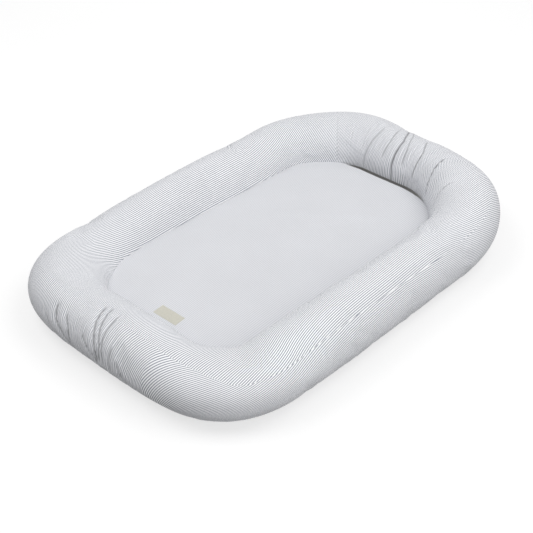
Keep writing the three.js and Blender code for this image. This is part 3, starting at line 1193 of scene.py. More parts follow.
class Folds:
    """How the cover's face stands off the smooth section, in millimetres."""

    fade_angle: float = 11.0
    fold_share: float = 0.5  # of a crease's depth, in its narrow fold
    valley_width: float = 4.0  # of the soft valley, in widths of the fold
    swell_angles: tuple[float, float, float, float] = (-78.0, -48.0, 78.0, 128.0)
    inner_swell: float = 6.0  # of the near side towards the mat
    inner_run: tuple[float, float, float, float] = (240.0, 330.0, 760.0, 850.0)
    inner_middle: float = 135.0
    inner_reach: float = 30.0
    lump_size: float = 0.55
    ridge_bend: float = 6.0
    ridge_waves: float = 1.3  # bends of a ridge, to the radian of the section
    dark_power: float = 0.8
    dark_depth: float = 3.4  # of a crease whose bottom gets the darkest painted shade

    def __init__(self, ring: Ring, seed: int = SEED) -> None:
        """Draws the lumps of the stuffing and the fine ridges of the gathers.

        Args:
            ring: The stuffed ring.
            seed: Seed of the draws.
        """
        self.ring = ring
        draw = np.random.default_rng(seed)

        def phase_and_size(least: float) -> tuple[float, float]:
            """Draws where a wave starts and how large it is."""
            return draw.uniform(0, 6.28), draw.uniform(least, 1.0)

        self._lumps = [
            (int(draw.integers(5, 22)), int(draw.integers(-3, 4)), *phase_and_size(0.35)) for _ in range(16)
        ]
        self._ridges = [
            (int(draw.integers(150, 340)), draw.uniform(-0.9, 0.9), *phase_and_size(0.3)) for _ in range(18)
        ]

    def _off_end(self, along: Array, end: End) -> Array:
        """Signed distance along the ring from an end's middle.

        Args:
            along: Millimetres of centreline.
            end: The end.

        Returns:
            Millimetres, below 0 before the middle.
        """
        middle = 0.0 if end is End.FOOT else self.ring.head_middle
        half = self.ring.total / 2
        return np.mod(along - middle + half, self.ring.total) - half

    def valley(self, along: Array, angles: Array, crease: Crease) -> tuple[Array, Array]:
        """How far each point lies in a crease's narrow fold and in the soft valley beside it.

        Args:
            along: Millimetres of centreline.
            angles: Angles on the section, in radians.
            crease: The crease.

        Returns:
            The share of the fold and that of the valley, both from 0 to 1.
        """
        degrees = np.degrees(angles)
        heights = [p[0] for p in crease.path]
        line = np.interp(degrees, heights, [p[1] for p in crease.path])
        off = np.abs(self._off_end(along, crease.end) - line) / crease.width
        low, high = heights[0], heights[-1]
        inside = smoothstep(degrees, low - self.fade_angle, low + 2) * (
            1 - smoothstep(degrees, high - 2, high + self.fade_angle)
        )
        return inside * np.exp(-(off**1.5)), inside * np.exp(-((off / self.valley_width) ** 2))

    def creases(self, along: Array, angles: Array) -> tuple[Array, Array]:
        """Depth of all creases together and the fold share by which the cloth's colour is blurred and
        darkened with painted shade.

        Args:
            along: Millimetres of centreline.
            angles: Angles on the section, in radians.

        Returns:
            The depth in millimetres and the fold share from 0 to 1.
        """
        depth = np.zeros_like(angles)
        fold = np.zeros_like(angles)
        for crease in CREASES:
            narrow, wide = self.valley(along, angles, crease)
            depth += crease.depth * (self.fold_share * narrow + (1 - self.fold_share) * wide)
            fold = np.maximum(fold, narrow**self.dark_power * min(crease.depth / self.dark_depth, 1.0))
        return depth, fold

    def ridges(self, along: Array, angles: Array) -> Array:
        """Fine ridges that run over the section beside the gathers.

        Args:
            along: Millimetres of centreline.
            angles: Angles on the section, in radians.

        Returns:
            Millimetres outwards.
        """
        total = np.zeros_like(angles)
        for count, lean, phase, size in self._ridges:
            wave = 2 * math.pi * count * along / self.ring.total
            bend = np.sin(angles * self.ridge_waves + phase)
            total += size * np.cos(wave + lean * self.ridge_bend * bend + phase)
        height = sum(bunch.ridges * share for bunch, share in zip(BUNCHES, self.bunched(along, angles)))
        return total / len(self._ridges) ** 0.5 * height

    def bunched(self, along: Array, angles: Array) -> list[Array]:
        """How much the cloth is bunched by the gathers of each end.

        Args:
            along: Millimetres of centreline.
            angles: Angles on the section, in radians.

        Returns:
            Shares from 0 to 1, in the order of the bunches.
        """
        degrees = np.degrees(angles)
        shares = []
        for bunch in BUNCHES:
            nearness = np.exp(-(((self._off_end(along, bunch.end) - bunch.place) / bunch.run) ** 4))
            shares.append(nearness * np.exp(-(((degrees - bunch.middle) / bunch.reach) ** 2)))
        return shares

    def lumps(self, along: Array, angles: Array) -> Array:
        """Slow swells of the hand-stuffed ring.

        Args:
            along: Millimetres of centreline.
            angles: Angles on the section, in radians.

        Returns:
            Millimetres outwards.
        """
        total = np.zeros_like(angles)
        for count, turns, phase, size in self._lumps:
            total += size * np.cos(2 * math.pi * count * along / self.ring.total + turns * angles + phase)
        return self.lump_size * total / len(self._lumps) ** 0.5

    def swell(self, along: Array, angles: Array) -> Array:
        """Fullness of the outer and upper side beyond the plain section.

        Args:
            along: Millimetres of centreline.
            angles: Angles on the section, in radians.

        Returns:
            Millimetres outwards.
        """
        degrees = np.degrees(angles)
        low, low_full, high_full, high = self.swell_angles
        share = smoothstep(degrees, low, low_full) * (1 - smoothstep(degrees, high_full, high))
        places, sizes = zip(*SWELLS)
        start, full, last, end = self.inner_run
        inner = smoothstep(along, start, full) * (1 - smoothstep(along, last, end))
        inner = inner * np.exp(-(((degrees - self.inner_middle) / self.inner_reach) ** 2))
        outer = through_marks(np.mod(along, self.ring.total), places, sizes, self.ring.total)
        return share * outer + self.inner_swell * inner

    def offset(self, along: Array, angles: Array) -> tuple[Array, Array]:
        """Offset of the face along its normal, and the fold share.

        Args:
            along: Millimetres of centreline.
            angles: Angles on the section, in radians.

        Returns:
            Millimetres outwards, and the share from 0 to 1.
        """
        depth, fold = self.creases(along, angles)
        shares = zip(BUNCHES, self.bunched(along, angles))
        fold = np.maximum(fold, sum(bunch.fold * share for bunch, share in shares))
        slow = self.lumps(along, angles) + self.swell(along, angles)
        return slow + self.ridges(along, angles) - depth, fold


# Run of the stripes


@dataclass(frozen=True)
class StripeRun:
    """How the stripes of a cloth run round the ring.

    Attributes:
        marks: At a few places the millimetres of centreline from the foot end's middle, the degrees that the
            stripes are turned from the ring's own way, and the stripes crossed per pitch, which is above 1
            where the cloth is gathered.
        level: Angle on the section, in degrees, at which the marks hold.
    """

    marks: tuple[tuple[float, float, float], ...]
    level: float


TOP_RUN = StripeRun(
    marks=(
        (0, -92, 1.12), (100, -85, 0.95), (140, -74, 0.84), (200, -47, 0.87), (260, -29, 1.02),
        (350, -13, 1.1), (480, -5, 1.06), (690, 0, 1.01), (780, 20, 1.04), (890, 31, 1.0), (950, 43, 1.0),
        (1050, 72, 1.14),
        (1130, 90, 1.25), (1260, 106, 1.06), (1390, 138, 1.0), (1465, 163, 1.01), (1530, 174, 1.0),
        (1640, 179, 1.0), (1870, 183, 1.02), (1930, 195, 1.03), (1995, 213, 1.01), (2060, 229, 1.12),
        (2140, 251, 1.22), (2190, 262, 1.24),
    ),
    level=105.0,
)
SIDE_RUN = StripeRun(
    marks=(
        (0, -92, 1.15), (60, -81, 1.0), (110, -72, 1.15), (150, -60, 1.4), (210, -34, 1.26), (290, -22, 1.18),
        (340, -13, 1.08), (480, -7, 1.08), (600, 0, 1.08), (700, 5, 1.07), (820, 28, 1.12), (910, 46, 1.2),
        (1000, 70, 1.4), (1130, 90, 1.43), (1250, 106, 1.45), (1320, 123, 1.27), (1400, 152, 1.1),
        (1480, 175, 1.06), (1580, 180, 1.06), (1900, 181, 1.05), (1990, 197, 1.0), (2040, 222, 1.03),
        (2100, 247, 1.25), (2160, 259, 1.37),
    ),
    level=25.0,
)


@dataclass(frozen=True)
class ClothRun:
    """How the cover's cloth is blown out over its filling.

    Attributes:
        frames: Steps of the simulation.
        pressure: Push of the filling.
        ease: Share by which the cloth is cut larger than the smooth form.
        tension: Stiffness against stretch and against being pushed together.
        bending: Stiffness against folds.
        cap: Millimetres that a point may move.
        start_inside: Millimetres by which the free cloth starts inside its final place, for the swelling.
    """

    frames: int = 20
    pressure: float = 4.0
    ease: float = 0.006
    tension: float = 15.0
    bending: float = 0.5
    cap: float = 6.0
    start_inside: float = 2.5

    def run(self, points: Array, pins: Array) -> Array:
        """Runs the cloth and gives how far each point moved.

        Args:
            points: Column, row and place in millimetres.
            pins: How firmly each point is held, from 0 to 1.

        Returns:
            Column, row and movement in millimetres.
        """
        piece = grid_piece("cloth_run", points)
        group = piece.vertex_groups.new(name="held")
        for level in np.unique(np.round(pins, 1)):
            if level > 0:
                chosen = np.flatnonzero(np.round(pins, 1).reshape(-1) == level)
                group.add(chosen.tolist(), float(level), "REPLACE")
        cloth = piece.modifiers.new("cloth", "CLOTH")
        settings = cloth.settings
        settings.quality = 4
        settings.use_pressure = True
        settings.uniform_pressure_force = self.pressure
        settings.shrink_min = -self.ease
        settings.tension_stiffness = settings.compression_stiffness = self.tension
        settings.bending_stiffness = self.bending
        settings.vertex_group_mass = "held"
        settings.effector_weights.gravity = 0.0
        cloth.collision_settings.use_collision = False
        cloth.point_cache.frame_start, cloth.point_cache.frame_end = 1, self.frames
        scene = bpy.context.scene
        for frame_number in range(1, self.frames + 1):
            scene.frame_set(frame_number)
        apply_modifiers(piece)
        moved = np.empty(points.size, dtype=np.float32)
        piece.data.vertices.foreach_get("co", moved)
        mesh = piece.data
        bpy.data.objects.remove(piece)
        bpy.data.meshes.remove(mesh)
        scene.frame_set(1)
        move = moved.astype(float).reshape(points.shape) / MM - points
        length = np.linalg.norm(move, axis=-1, keepdims=True)
        return move * np.minimum(1.0, self.cap / np.maximum(length, 1e-6))


@dataclass
class CoverSizes:
    """Rows and spacings of the cover's cloth and its filling, in millimetres."""

    thickness: float = 1.2
    gap: float = 0.35
    top_rows: int = 46
    side_rows: int = 34
    under_rows: int = 12
    base_rows: int = 6
    core_rows: int = 16
    wall_rows: int = 8
    fine_step: float = 1.25
    coarse_step: float = 5.0
    cloth_step: float = 5.5
    foot_fine: tuple[float, float] = (-138.0, 72.0)  # where the gathers are, from the end's middle
    head_fine: tuple[float, float] = (-262.0, 182.0)
    floor_fade: tuple[float, float] = (3.0, 24.0)
    slit_half_length: float = 257.0
    slit_half_width: float = 5.5
    slit_power: float = 0.3
    wall_top: float = 59.4
    wall_bottom: float = 9.6
    foot_split: float = 11.0  # where the two cores meet at the foot end, along the ring from its middle
    head_split: float = 8.5  # and at the head end
    core_gap: float = 0.4  # that each core keeps from there
    core_round: float = 16.0
    ripple_height: float = 0.25  # of the lining, with its run
    ripple_run: float = 9.0
    lining_share: float = 0.8  # of the cover cloth's thickness
    core_columns: int = 260
    core_end: float = 0.6  # width of a filling's end, as a share
    tuft_points: int = 7  # over which the tufts are smoothed
    tuft_depth: float = 0.02  # share of the section
    seam_groove: float = 0.05
    seam_fade: tuple[float, float] = (-1.0, 5.0)  # rows over which the folds start at the mat seam
    seam_hold: float = 0.2  # how firmly the crest seam holds the cloth
    seam_rows: float = 0.8  # rows that it reaches
    fill_start: float = 118.0  # degrees of the section where the fuller inner side starts
    fill_full: float = 168.0
    hold_rows: float = 3.0  # rows that the mat seam holds
    hold_floor: tuple[float, float] = (2.0, 14.0)  # heights between which the floor lets go of the cloth
    free_rows: float = 4.0  # rows from the mat seam to cloth that starts inside
    tuck_least: float = 0.15  # share of the seam's tuck beside the mat
    tuck_gap: float = 0.62  # and what the head gap adds


class Cover:
    """The sewn cover of the ring: top sleeve and base sheet on one grid, and what is inside them."""

    def __init__(self, ring: Ring, folds: Folds, sizes: CoverSizes) -> None:
        """Lays the grid, folds it and blows it out over the filling.

        Args:
            ring: The stuffed ring.
            folds: Folds of the cover's face.
            sizes: Its sizes.
        """
        self.ring, self.folds, self.sizes = ring, folds, sizes
        self.at = ring.stations(self._columns())
        self.angles = self._angles(self.at)
        self.smooth, self.points, self.fold = self._folded(self.at, self.angles)
        self.points = self.points + self._blown()
        self.points[..., 2] = np.maximum(self.points[..., 2], FLOOR_GAP)

    def _angles(self, at: Stations) -> Array:
        """Angles of the rows from the mat seam over the crest seam to the floor, for each column.

        Args:
            at: Stations, one for each column.

        Returns:
            Column and row, in radians.
        """
        sizes = self.sizes
        seam, crest = self.ring.seam_angle(at)[:, None], at.crest[:, None]
        floor = math.radians(self.ring.sizes.floor_half_angle - 90.0)
        top = np.linspace(0, 1, sizes.top_rows + 1)
        side = np.linspace(0, 1, sizes.side_rows + 1)[1:]
        return np.concatenate([seam + (crest - seam) * top, crest + (floor - crest) * side], axis=1)

    def _folded(self, at: Stations, angles: Array) -> tuple[Array, Array, Array]:
        """Smooth section, the same with its creases and fullness, and the fold share of each point.

        Args:
            at: Stations, one for each column.
            angles: Column and row, in radians.

        Returns:
            Two grids of places in millimetres, and the shares.
        """
        sizes = self.sizes
        ring = self.ring
        tucked = sizes.tuck_least + sizes.tuck_gap * ring.head_gap(at)
        smooth = ring.surface(at, angles, tucked=tucked)
        inner = smoothstep(angles, math.radians(sizes.fill_start), math.radians(sizes.fill_full))
        inner = inner * ring.corner_filling(at)[:, None]
        smooth[..., 0] -= at.out_x[:, None] * inner
        smooth[..., 1] -= at.out_y[:, None] * inner
        offset, fold = self.folds.offset(np.broadcast_to(at.along[:, None], angles.shape), angles)
        rows = np.arange(angles.shape[1])[None, :]
        offset = offset - sizes.seam_groove * self._at_crest(rows)
        fade = smoothstep(smooth[..., 2], *sizes.floor_fade) * smoothstep(rows, *sizes.seam_fade)
        points = smooth + self._normals(smooth) * (offset * fade)[..., None]
        points[..., 2] = np.maximum(points[..., 2], FLOOR_GAP)
        return smooth, points, fold

    def _at_crest(self, rows: Array) -> Array:
        """How close rows are to the crest seam, from 0 to 1."""
        return np.exp(-(((rows - self.sizes.top_rows) / self.sizes.seam_rows) ** 2))

    def _columns(self) -> Array:
        """Places of the columns, close together beside the gathers, from the head end's middle round.

        Returns:
            Millimetres of centreline, up to one lap past the first.
        """
        size, ring = self.sizes, self.ring
        start = ring.head_middle - 4.0
        turn = start + ring.total
        foot = [ring.total + place for place in size.foot_fine]
        head = [ring.head_middle + place for place in size.head_fine]
        spans = (
            (start, head[1], size.fine_step),
            (head[1], foot[0], size.coarse_step),
            (foot[0], foot[1], size.fine_step),
            (foot[1], head[0] + ring.total, size.coarse_step),
            (head[0] + ring.total, turn, size.fine_step),
        )
        places = [np.linspace(a, b, max(2, round((b - a) / step)), endpoint=False) for a, b, step in spans]
        return np.concatenate(places)

    def _blown(self) -> Array:
        """Movement of each point by a cloth simulation, held at the seams, on the floor and in the creases.

        The simulation has its own even columns, so that it swells the cloth without crumpling the fine ones.

        Returns:
            Column, row and movement in millimetres.
        """
        count = round(self.ring.total / self.sizes.cloth_step)
        at = self.ring.stations(np.arange(count) * self.ring.total / count)
        points, fold = self._folded(at, self._angles(at))[1:]
        rows = np.arange(points.shape[1])[None, :]
        seams = np.maximum(1 - rows / self.sizes.hold_rows, 0.0) + self.sizes.seam_hold * self._at_crest(rows)
        floor = 1 - smoothstep(points[..., 2], *self.sizes.hold_floor)
        pins = np.clip(np.maximum(np.maximum(seams, floor), fold), 0, 1)
        cloth = ClothRun()
        normals = self._normals(points)
        inside = cloth.start_inside * (1 - pins) * smoothstep(rows, 0.0, self.sizes.free_rows)
        start = points - normals * inside[..., None]
        move = start + cloth.run(start, pins) - points
        out = (move * normals).sum(axis=-1)[pins < 0.1]
        LOG.info("cloth run: %.2f mm outwards, from %.2f to %.2f mm", out.mean(), out.min(), out.max())
        place = np.mod(self.at.along, self.ring.total) / self.ring.total * count
        low = np.floor(place).astype(int)
        share = (place - low)[:, None, None]
        return move[low % count] * (1 - share) + move[(low + 1) % count] * share

    @staticmethod
    def _normals(points: Array) -> Array:
        """Outward normals of a ring-shaped grid.

        Args:
            points: Column, row and place.

        Returns:
            Column, row and direction.
        """
        across = np.gradient(points, axis=1)
        round_it = np.roll(points, -1, axis=0) - np.roll(points, 1, axis=0)
        normal = np.cross(across, round_it)
        normal /= np.linalg.norm(normal, axis=-1, keepdims=True)
        return normal

    def _cut(self, run: StripeRun) -> Array:
        """Cut-pattern coordinates of the ring's cloth, whose second number counts the stripes.

        Args:
            run: How the stripes run.

        Returns:
            Column, row and (along, across) in metres, with the first column again at the end.
        """
        place = np.append(self.at.along, self.at.along[0] + self.ring.total)
        place[np.flatnonzero(np.diff(self.at.along) < 0)[0] + 1 : -1] += self.ring.total
        around = np.mod(place, self.ring.total)
        places, slants, crowding = zip(*run.marks)
        slant = np.radians(through_marks(around, places, slants, self.ring.total, 360.0))
        crossed = through_marks(around, places, crowding, self.ring.total)
        along, up = crossed * np.sin(slant), crossed * np.cos(slant)
        steps = np.linalg.norm(np.diff(self.smooth, axis=1), axis=2)
        arcs = np.concatenate([np.zeros((len(steps), 1)), np.cumsum(steps, axis=1)], axis=1)
        turned = -math.radians(run.level)
        level = np.array([np.interp(turned, -row, arc) for row, arc in zip(self.angles, arcs)])
        rise = level[:, None] - arcs
        run_sum = np.append(0.0, np.cumsum((along[1:] + along[:-1]) / 2 * np.diff(place)))
        across = run_sum[:, None] + np.concatenate([rise, rise[:1]]) * up[:, None]
        return np.stack([np.broadcast_to(place[:, None], across.shape), across], axis=-1) * MM

    def top_sleeve(self, finishes: Finishes) -> bpy.types.Object:
        """Makes the sleeve over the ring from the mat seam to the crest seam.

        Args:
            finishes: Materials of the lounger.

        Returns:
            The sleeve.
        """
        rows = self.sizes.top_rows
        bands = [UvBand(0, rows, self._cut(TOP_RUN)[:, : rows + 1])]
        piece = grid_piece(
            "bolster_top_sleeve", self.points[:, : rows + 1], bands=bands, fold=self.fold[:, : rows + 1]
        )
        thicken(piece, self.sizes.thickness)
        return finish_piece(piece, Body.ROOT, finishes.cotton, ["bolster_panel"])

    def _slit(self) -> Array:
        """Points of the zip's slit, one for each column.

        Returns:
            Column and place in millimetres.
        """
        size, ring = self.sizes, self.ring.sizes
        turn = np.arctan2(self.at.y / ring.half_width, self.at.x / ring.half_length)
        x = size.slit_half_length * power_of(np.cos(turn), size.slit_power)
        y = size.slit_half_width * power_of(np.sin(turn), size.slit_power)
        return np.stack([x, y, np.full_like(turn, ring.base_bottom)], axis=-1)

    def base_cover(self, finishes: Finishes) -> bpy.types.Object:
        """Makes the sheet from the crest seam down the outside and under the lounger to the zip.

        Args:
            finishes: Materials of the lounger.

        Returns:
            The sheet.
        """
        size, ring = self.sizes, self.ring
        first = size.top_rows
        outer = self.points[:, first:]
        floor = self.angles[:, -1:]
        leave = ring.leave_angle(self.at)[:, None]
        under = ring.surface(self.at, floor + (leave - floor) * np.linspace(0, 1, size.under_rows + 1)[1:])
        edge = under[:, -1]
        share = np.linspace(0, 1, size.base_rows + 1)[1:, None]
        flat = edge[:, None] + (self._slit() - edge)[:, None] * share[None]
        points = np.concatenate([outer, under, flat], axis=1)
        side_rows = outer.shape[1] - 1
        side_cut = np.zeros((len(points) + 1, points.shape[1], 2))
        side_cut[:, : side_rows + 1] = self._cut(SIDE_RUN)[:, first:]
        under_cut = np.concatenate([points, points[:1]])[..., :2] * MM
        fold = np.zeros(points.shape[:2])
        fold[:, : side_rows + 1] = self.fold[:, first:]
        bands = [UvBand(0, side_rows, side_cut), UvBand(side_rows, points.shape[1] - 1, under_cut)]
        piece = grid_piece("base_cover", points, bands=bands, fold=fold)
        thicken(piece, size.thickness)
        return finish_piece(piece, Body.ROOT, finishes.cotton, ["base_panel"])

    def channel_wall(self, finishes: Finishes) -> bpy.types.Object:
        """Makes the strip of lining between the ring's filling and the mat's, with painted shade where it
        lies in the head gap.

        Args:
            finishes: Materials of the lounger.

        Returns:
            The strip.
        """
        size = self.sizes
        heights = np.linspace(size.wall_bottom, size.wall_top, size.wall_rows)
        ripple = size.ripple_height * np.sin(self.at.along / size.ripple_run)[:, None]
        ripple = ripple * np.sin(np.linspace(0, math.pi, size.wall_rows))
        out = self.ring.wall_place(self.at)[:, None] + np.abs(ripple)
        points = Ring.place(self.at.spread(), out, heights[None, :])
        # painted shade: the fold share here is the head gap, in whose depth the lining is darkened
        fold = np.broadcast_to(self.ring.head_gap(self.at)[:, None], points.shape[:2])
        piece = grid_piece("channel_wall_lining", points, fold=fold)
        thicken(piece, size.thickness * size.lining_share)
        return finish_piece(piece, Body.ROOT, finishes.lining, ["channel_wall"])

    def _inside(self, places: Array, depth: float) -> Array:
        """Points below the cover's face at other places round the ring.

        Args:
            places: Millimetres of centreline.
            depth: Millimetres below the face.

        Returns:
            Column, row and place.
        """
        inner = self.points - self._normals(self.points) * depth
        inner = np.concatenate([inner, inner[:1]])
        lap = self.ring.total
        known = self.at.along + np.where(self.at.along < self.at.along[0], lap, 0.0)
        known = np.append(known, known[0] + lap)
        wanted = places + np.where(places < known[0], lap, 0.0)
        return np.apply_along_axis(lambda line: np.interp(wanted, known, line), 0, inner)

    def core(self, left: bool, finishes: Finishes) -> bpy.types.Object:
        """Makes one half of the ring's filling, which follows the cover from inside.

        Args:
            left: Whether it is the half on the left long side.
            finishes: Materials of the lounger.

        Returns:
            The filling.
        """
        size, ring = self.sizes, self.ring
        depth = size.thickness + size.gap
        head = ring.head_middle + size.head_split
        foot = size.foot_split + (ring.total if left else 0.0)
        first, last = (head, foot) if left else (foot, head)
        places = np.linspace(first, last, size.core_columns)
        places[0] += size.core_gap
        places[-1] -= size.core_gap
        at = ring.stations(places)
        outer = self._inside(places, depth)
        seam = ring.seam_angle(at)[:, None]
        floor = self.angles[0, -1]
        down = np.linspace(0, 1, size.core_rows + 1)[1:]
        angles = floor + (seam - 2 * math.pi - floor) * down[None, :]
        angles = np.where(angles < -math.pi, angles + 2 * math.pi, angles)
        under = ring.surface(at, angles, depth, walled=True)
        points = np.concatenate([outer, under], axis=1)
        points[..., 2] = np.maximum(points[..., 2], depth)
        tufts = np.random.default_rng(SEED + left).normal(size=points.shape[:2])
        kernel = np.hanning(size.tuft_points)
        kernel /= kernel.sum()
        for axis in (0, 1):
            tufts = np.apply_along_axis(lambda line: np.convolve(line, kernel, "same"), axis, tufts)
        middle = points.mean(axis=1, keepdims=True)
        run = np.minimum(np.arange(len(places)), np.arange(len(places))[::-1]) * abs(places[2] - places[1])
        rounding = np.sqrt(1 - (1 - np.clip((run + 1.0) / size.core_round, 0, 1)) ** 2)
        width = size.core_end + (1 - size.core_end) * rounding
        shrink = width[:, None, None] - size.tuft_depth * np.abs(tufts)[..., None]
        points = middle + (points - middle) * shrink
        rows = points.shape[1]
        end = (len(places) - 1) * rows
        caps = [list(range(rows))[::-1], [end + j for j in range(rows)]]
        side = "left" if left else "right"
        piece = grid_piece(f"bolster_filling_{side}", points, ring=False, tube=True, caps=caps)
        recalculate(piece)
        return finish_piece(piece, Body.ROOT, finishes.filling, [f"bolster_core_{side}"])


# Mat


@dataclass
class MatSizes:
    """The mat and what is on it, in millimetres."""

    crown: float = 10.0
    roll: float = 9.0
    edge_fade: float = 25.0
    edge_lift: float = 2.0  # above the sleeve's edge, which it hides
    lip: float = 0.16  # share of the crown that the edge has already where nothing draws it in
    gap_lip: float = 0.3  # what the groove adds to it
    shoulder: float = 40.0
    shoulder_pull: float = 1.4
    plump: float = 1.5  # fullness beside the groove, with its place and reach
    plump_place: float = 26.0
    plump_reach: float = 14.0
    groove_depth: float = 11.5
    groove_width: float = 14.5
    middle_radius: float = 9.0  # of the innermost points' loop
    spine_half: float = 150.0  # of the middle line that the columns run to
    spine_share: float = 0.92
    rows: int = 44
    row_power: float = 1.25  # above 1 the rows are closer together near the edge
    label_length: float = 56.0
    label_width: float = 23.0
    label_columns: int = 17
    label_rows: int = 37
    label_low: float = 0.25  # above the mat's cloth at its edge
    label_full: float = 0.55  # what it rises from there
    label_edge: float = 1.6
    label_wave: float = 0.12
    label_wave_run: float = 5.0
    label_thickness: float = 0.6
    label_middle: tuple[float, float] = (-303.0, -21.0)
    cloth: float = 1.2
    gap: float = 0.3
    pad_rows: int = 26
    side_rows: int = 8
    pad_clear: float = 1.5
    pad_middle: float = 0.985  # where its rows end, as a share of the way to the middle line
    pad_run: float = 200.0  # rough length of its rows
    pad_round: float = 6.0
    low_round: float = 0.6  # of the lower edge, as a share of it
    pad_bottom: float = 9.8
    zip_groove: float = 2.6
    stripe_turn: float = 4.0  # degrees
    groove_ends: tuple[float, float] = (257.0, 268.0)
    groove_sides: tuple[float, float] = (16.0, 24.0)


class Mat:
    """The padded mat: its cover, pad and woven label."""

    def __init__(self, cover: Cover, sizes: MatSizes) -> None:
        """Finds the edge of the mat and where its head groove runs.

        Args:
            cover: The ring's cover.
            sizes: Its sizes.
        """
        self.cover, self.sizes = cover, sizes
        at, ring = cover.at, cover.ring
        self.groove = ring.head_gap(at)
        self.edge = Ring.place(at, ring.wall_place(at) - sizes.gap - ring.corner_filling(at), 0.0)[:, :2]

    def _inward(self, x: Array, y: Array) -> tuple[Array, Array]:
        """Distance of points from the mat's edge, and the groove share of the nearest edge.

        Args:
            x: Places along the lounger, in millimetres.
            y: Places across it.

        Returns:
            Millimetres, and the share from 0 to 1.
        """
        flat = np.stack([np.ravel(x), np.ravel(y)], axis=-1)
        best = np.empty(len(flat))
        groove = np.empty(len(flat))
        for start in range(0, len(flat), 2048):
            part = flat[start : start + 2048]
            gaps = np.linalg.norm(part[:, None] - self.edge[None], axis=2)
            nearest = gaps.argmin(axis=1)
            best[start : start + 2048] = gaps[np.arange(len(part)), nearest]
            groove[start : start + 2048] = self.groove[nearest]
        return best.reshape(np.shape(x)), groove.reshape(np.shape(x))

    def height(self, x: Array, y: Array) -> Array:
        """Height of the mat's face.

        Args:
            x: Places along the lounger, in millimetres.
            y: Places across it.

        Returns:
            Millimetres above the floor.
        """
        size = self.sizes
        inward, groove = self._inward(x, y)
        lip = np.sqrt(1 - (1 - np.clip(inward / size.roll, 0, 1)) ** 2)
        shoulder = 1 - np.exp(-inward / size.shoulder * size.shoulder_pull)
        share = size.lip + size.gap_lip * groove
        rise = size.crown * (share * lip + (1 - share) * shoulder)
        past = np.clip((inward - size.groove_width * groove) / size.roll, 0, 1)
        drop = size.groove_depth * groove * (1 - np.sqrt(1 - (1 - past) ** 2))
        plump = size.plump * groove * np.exp(-(((inward - size.plump_place) / size.plump_reach) ** 2))
        rise = rise + size.edge_lift * (1 - groove) * np.exp(-inward / size.edge_fade)
        return self.cover.ring.sizes.mat_seam_height + rise - drop + plump + self._wrinkles(x, y, inward)

    @staticmethod
    def _wrinkles(x: Array, y: Array, inward: Array) -> Array:
        """Soft wrinkles of the mat's cloth: a few long shallow swells and pulls from the corners.

        Args:
            x: Places along the lounger, in millimetres.
            y: Places across it.
            inward: Millimetres from the mat's edge.

        Returns:
            Millimetres upwards.
        """
        quiet = smoothstep(inward, 4.0, 40.0)
        total = 0.5 * np.sin(x / 47.0 + 0.6 * np.sin(y / 60.0)) + 0.35 * np.sin(y / 31.0 + x / 90.0)
        for (x0, y0), (x1, y1), width, size in (
            ((60, 70), (210, -120), 16.0, 1.5),
            ((20, 20), (170, -100), 13.0, -0.9),
            ((235, -60), (300, -110), 11.0, 1.3),
            ((262, 110), (285, 40), 8.0, 0.9),
            ((-280, -60), (-180, -130), 14.0, 0.7),
        ):
            length = math.hypot(x1 - x0, y1 - y0)
            ux, uy = (x1 - x0) / length, (y1 - y0) / length
            run = (x - x0) * ux + (y - y0) * uy
            off = -(x - x0) * uy + (y - y0) * ux
            ends = smoothstep(run, -20, 25) * (1 - smoothstep(run, length - 25, length + 20))
            total = total + size * ends * np.exp(-((off / width) ** 2))
        return quiet * total

    def mat_cover(self, finishes: Finishes) -> bpy.types.Object:
        """Makes the crowned cover of the mat, with its rolled edge.

        Args:
            finishes: Materials of the lounger.

        Returns:
            The cover.
        """
        size = self.sizes
        share = (np.arange(size.rows) / (size.rows - 1)) ** size.row_power
        spine, inward = self._runs()
        edge = self.edge + inward * (self.groove * size.groove_width)[:, None]
        flat = edge[:, None] + (spine - inward * size.middle_radius - edge)[:, None] * share[None, :, None]
        heights = self.height(flat[..., 0], flat[..., 1])
        points = np.concatenate([flat, heights[..., None]], axis=-1)
        points = points[:, ::-1]
        piece = grid_piece("mat_cover", points, caps=self._middle(points), fold=np.zeros(points.shape[:2]))
        mesh = piece.data
        layer = mesh.uv_layers.new(name="cut")
        places = np.array([mesh.vertices[loop.vertex_index].co for loop in mesh.loops]) / MM
        layer.data.foreach_set("uv", self.cut(places).reshape(-1).astype(np.float32))
        thicken(piece, size.cloth)
        return finish_piece(piece, Body.ROOT, finishes.mat_cotton, ["center_panel"])

    def _middle(self, points: Array) -> list[list[int]]:
        """Triangles that close the narrow loop between the innermost points of the two sides.

        Args:
            points: Column, row and place, with the innermost row first.

        Returns:
            The triangles, as numbers of points.
        """
        columns, rows = points.shape[:2]
        head = int(np.argmin(np.abs(self.cover.at.along - self.cover.ring.head_middle)))
        foot = int(np.argmin(np.minimum(self.cover.at.along, self.cover.ring.total - self.cover.at.along)))
        left = [(head + i) % columns for i in range((foot - head) % columns + 1)]
        right = [(head - i) % columns for i in range((head - foot) % columns + 1)]
        faces: list[list[int]] = []
        i = j = 0
        while i < len(left) - 1 or j < len(right) - 1:
            next_left, next_right = left[min(i + 1, len(left) - 1)], right[min(j + 1, len(right) - 1)]
            ahead = points[next_left, 0, 0] > points[next_right, 0, 0]
            if j == len(right) - 1 or (ahead and i < len(left) - 1):
                corners, i = (left[i], left[i + 1], right[j]), i + 1
            else:
                corners, j = (left[i], right[j + 1], right[j]), j + 1
            if len(set(corners)) == 3:
                faces.append([corner * rows for corner in corners])
        return faces

    def cut(self, points: Array) -> Array:
        """Cut-pattern coordinates of the mat's cloth, whose stripes run lengthwise with a slight turn.

        Args:
            points: Places in millimetres.

        Returns:
            Along and across, in metres.
        """
        turn = math.radians(self.sizes.stripe_turn)
        along = points[..., 0] * math.cos(turn) + points[..., 1] * math.sin(turn)
        across = points[..., 1] * math.cos(turn) - points[..., 0] * math.sin(turn)
        return np.stack([along, across], axis=-1) * MM

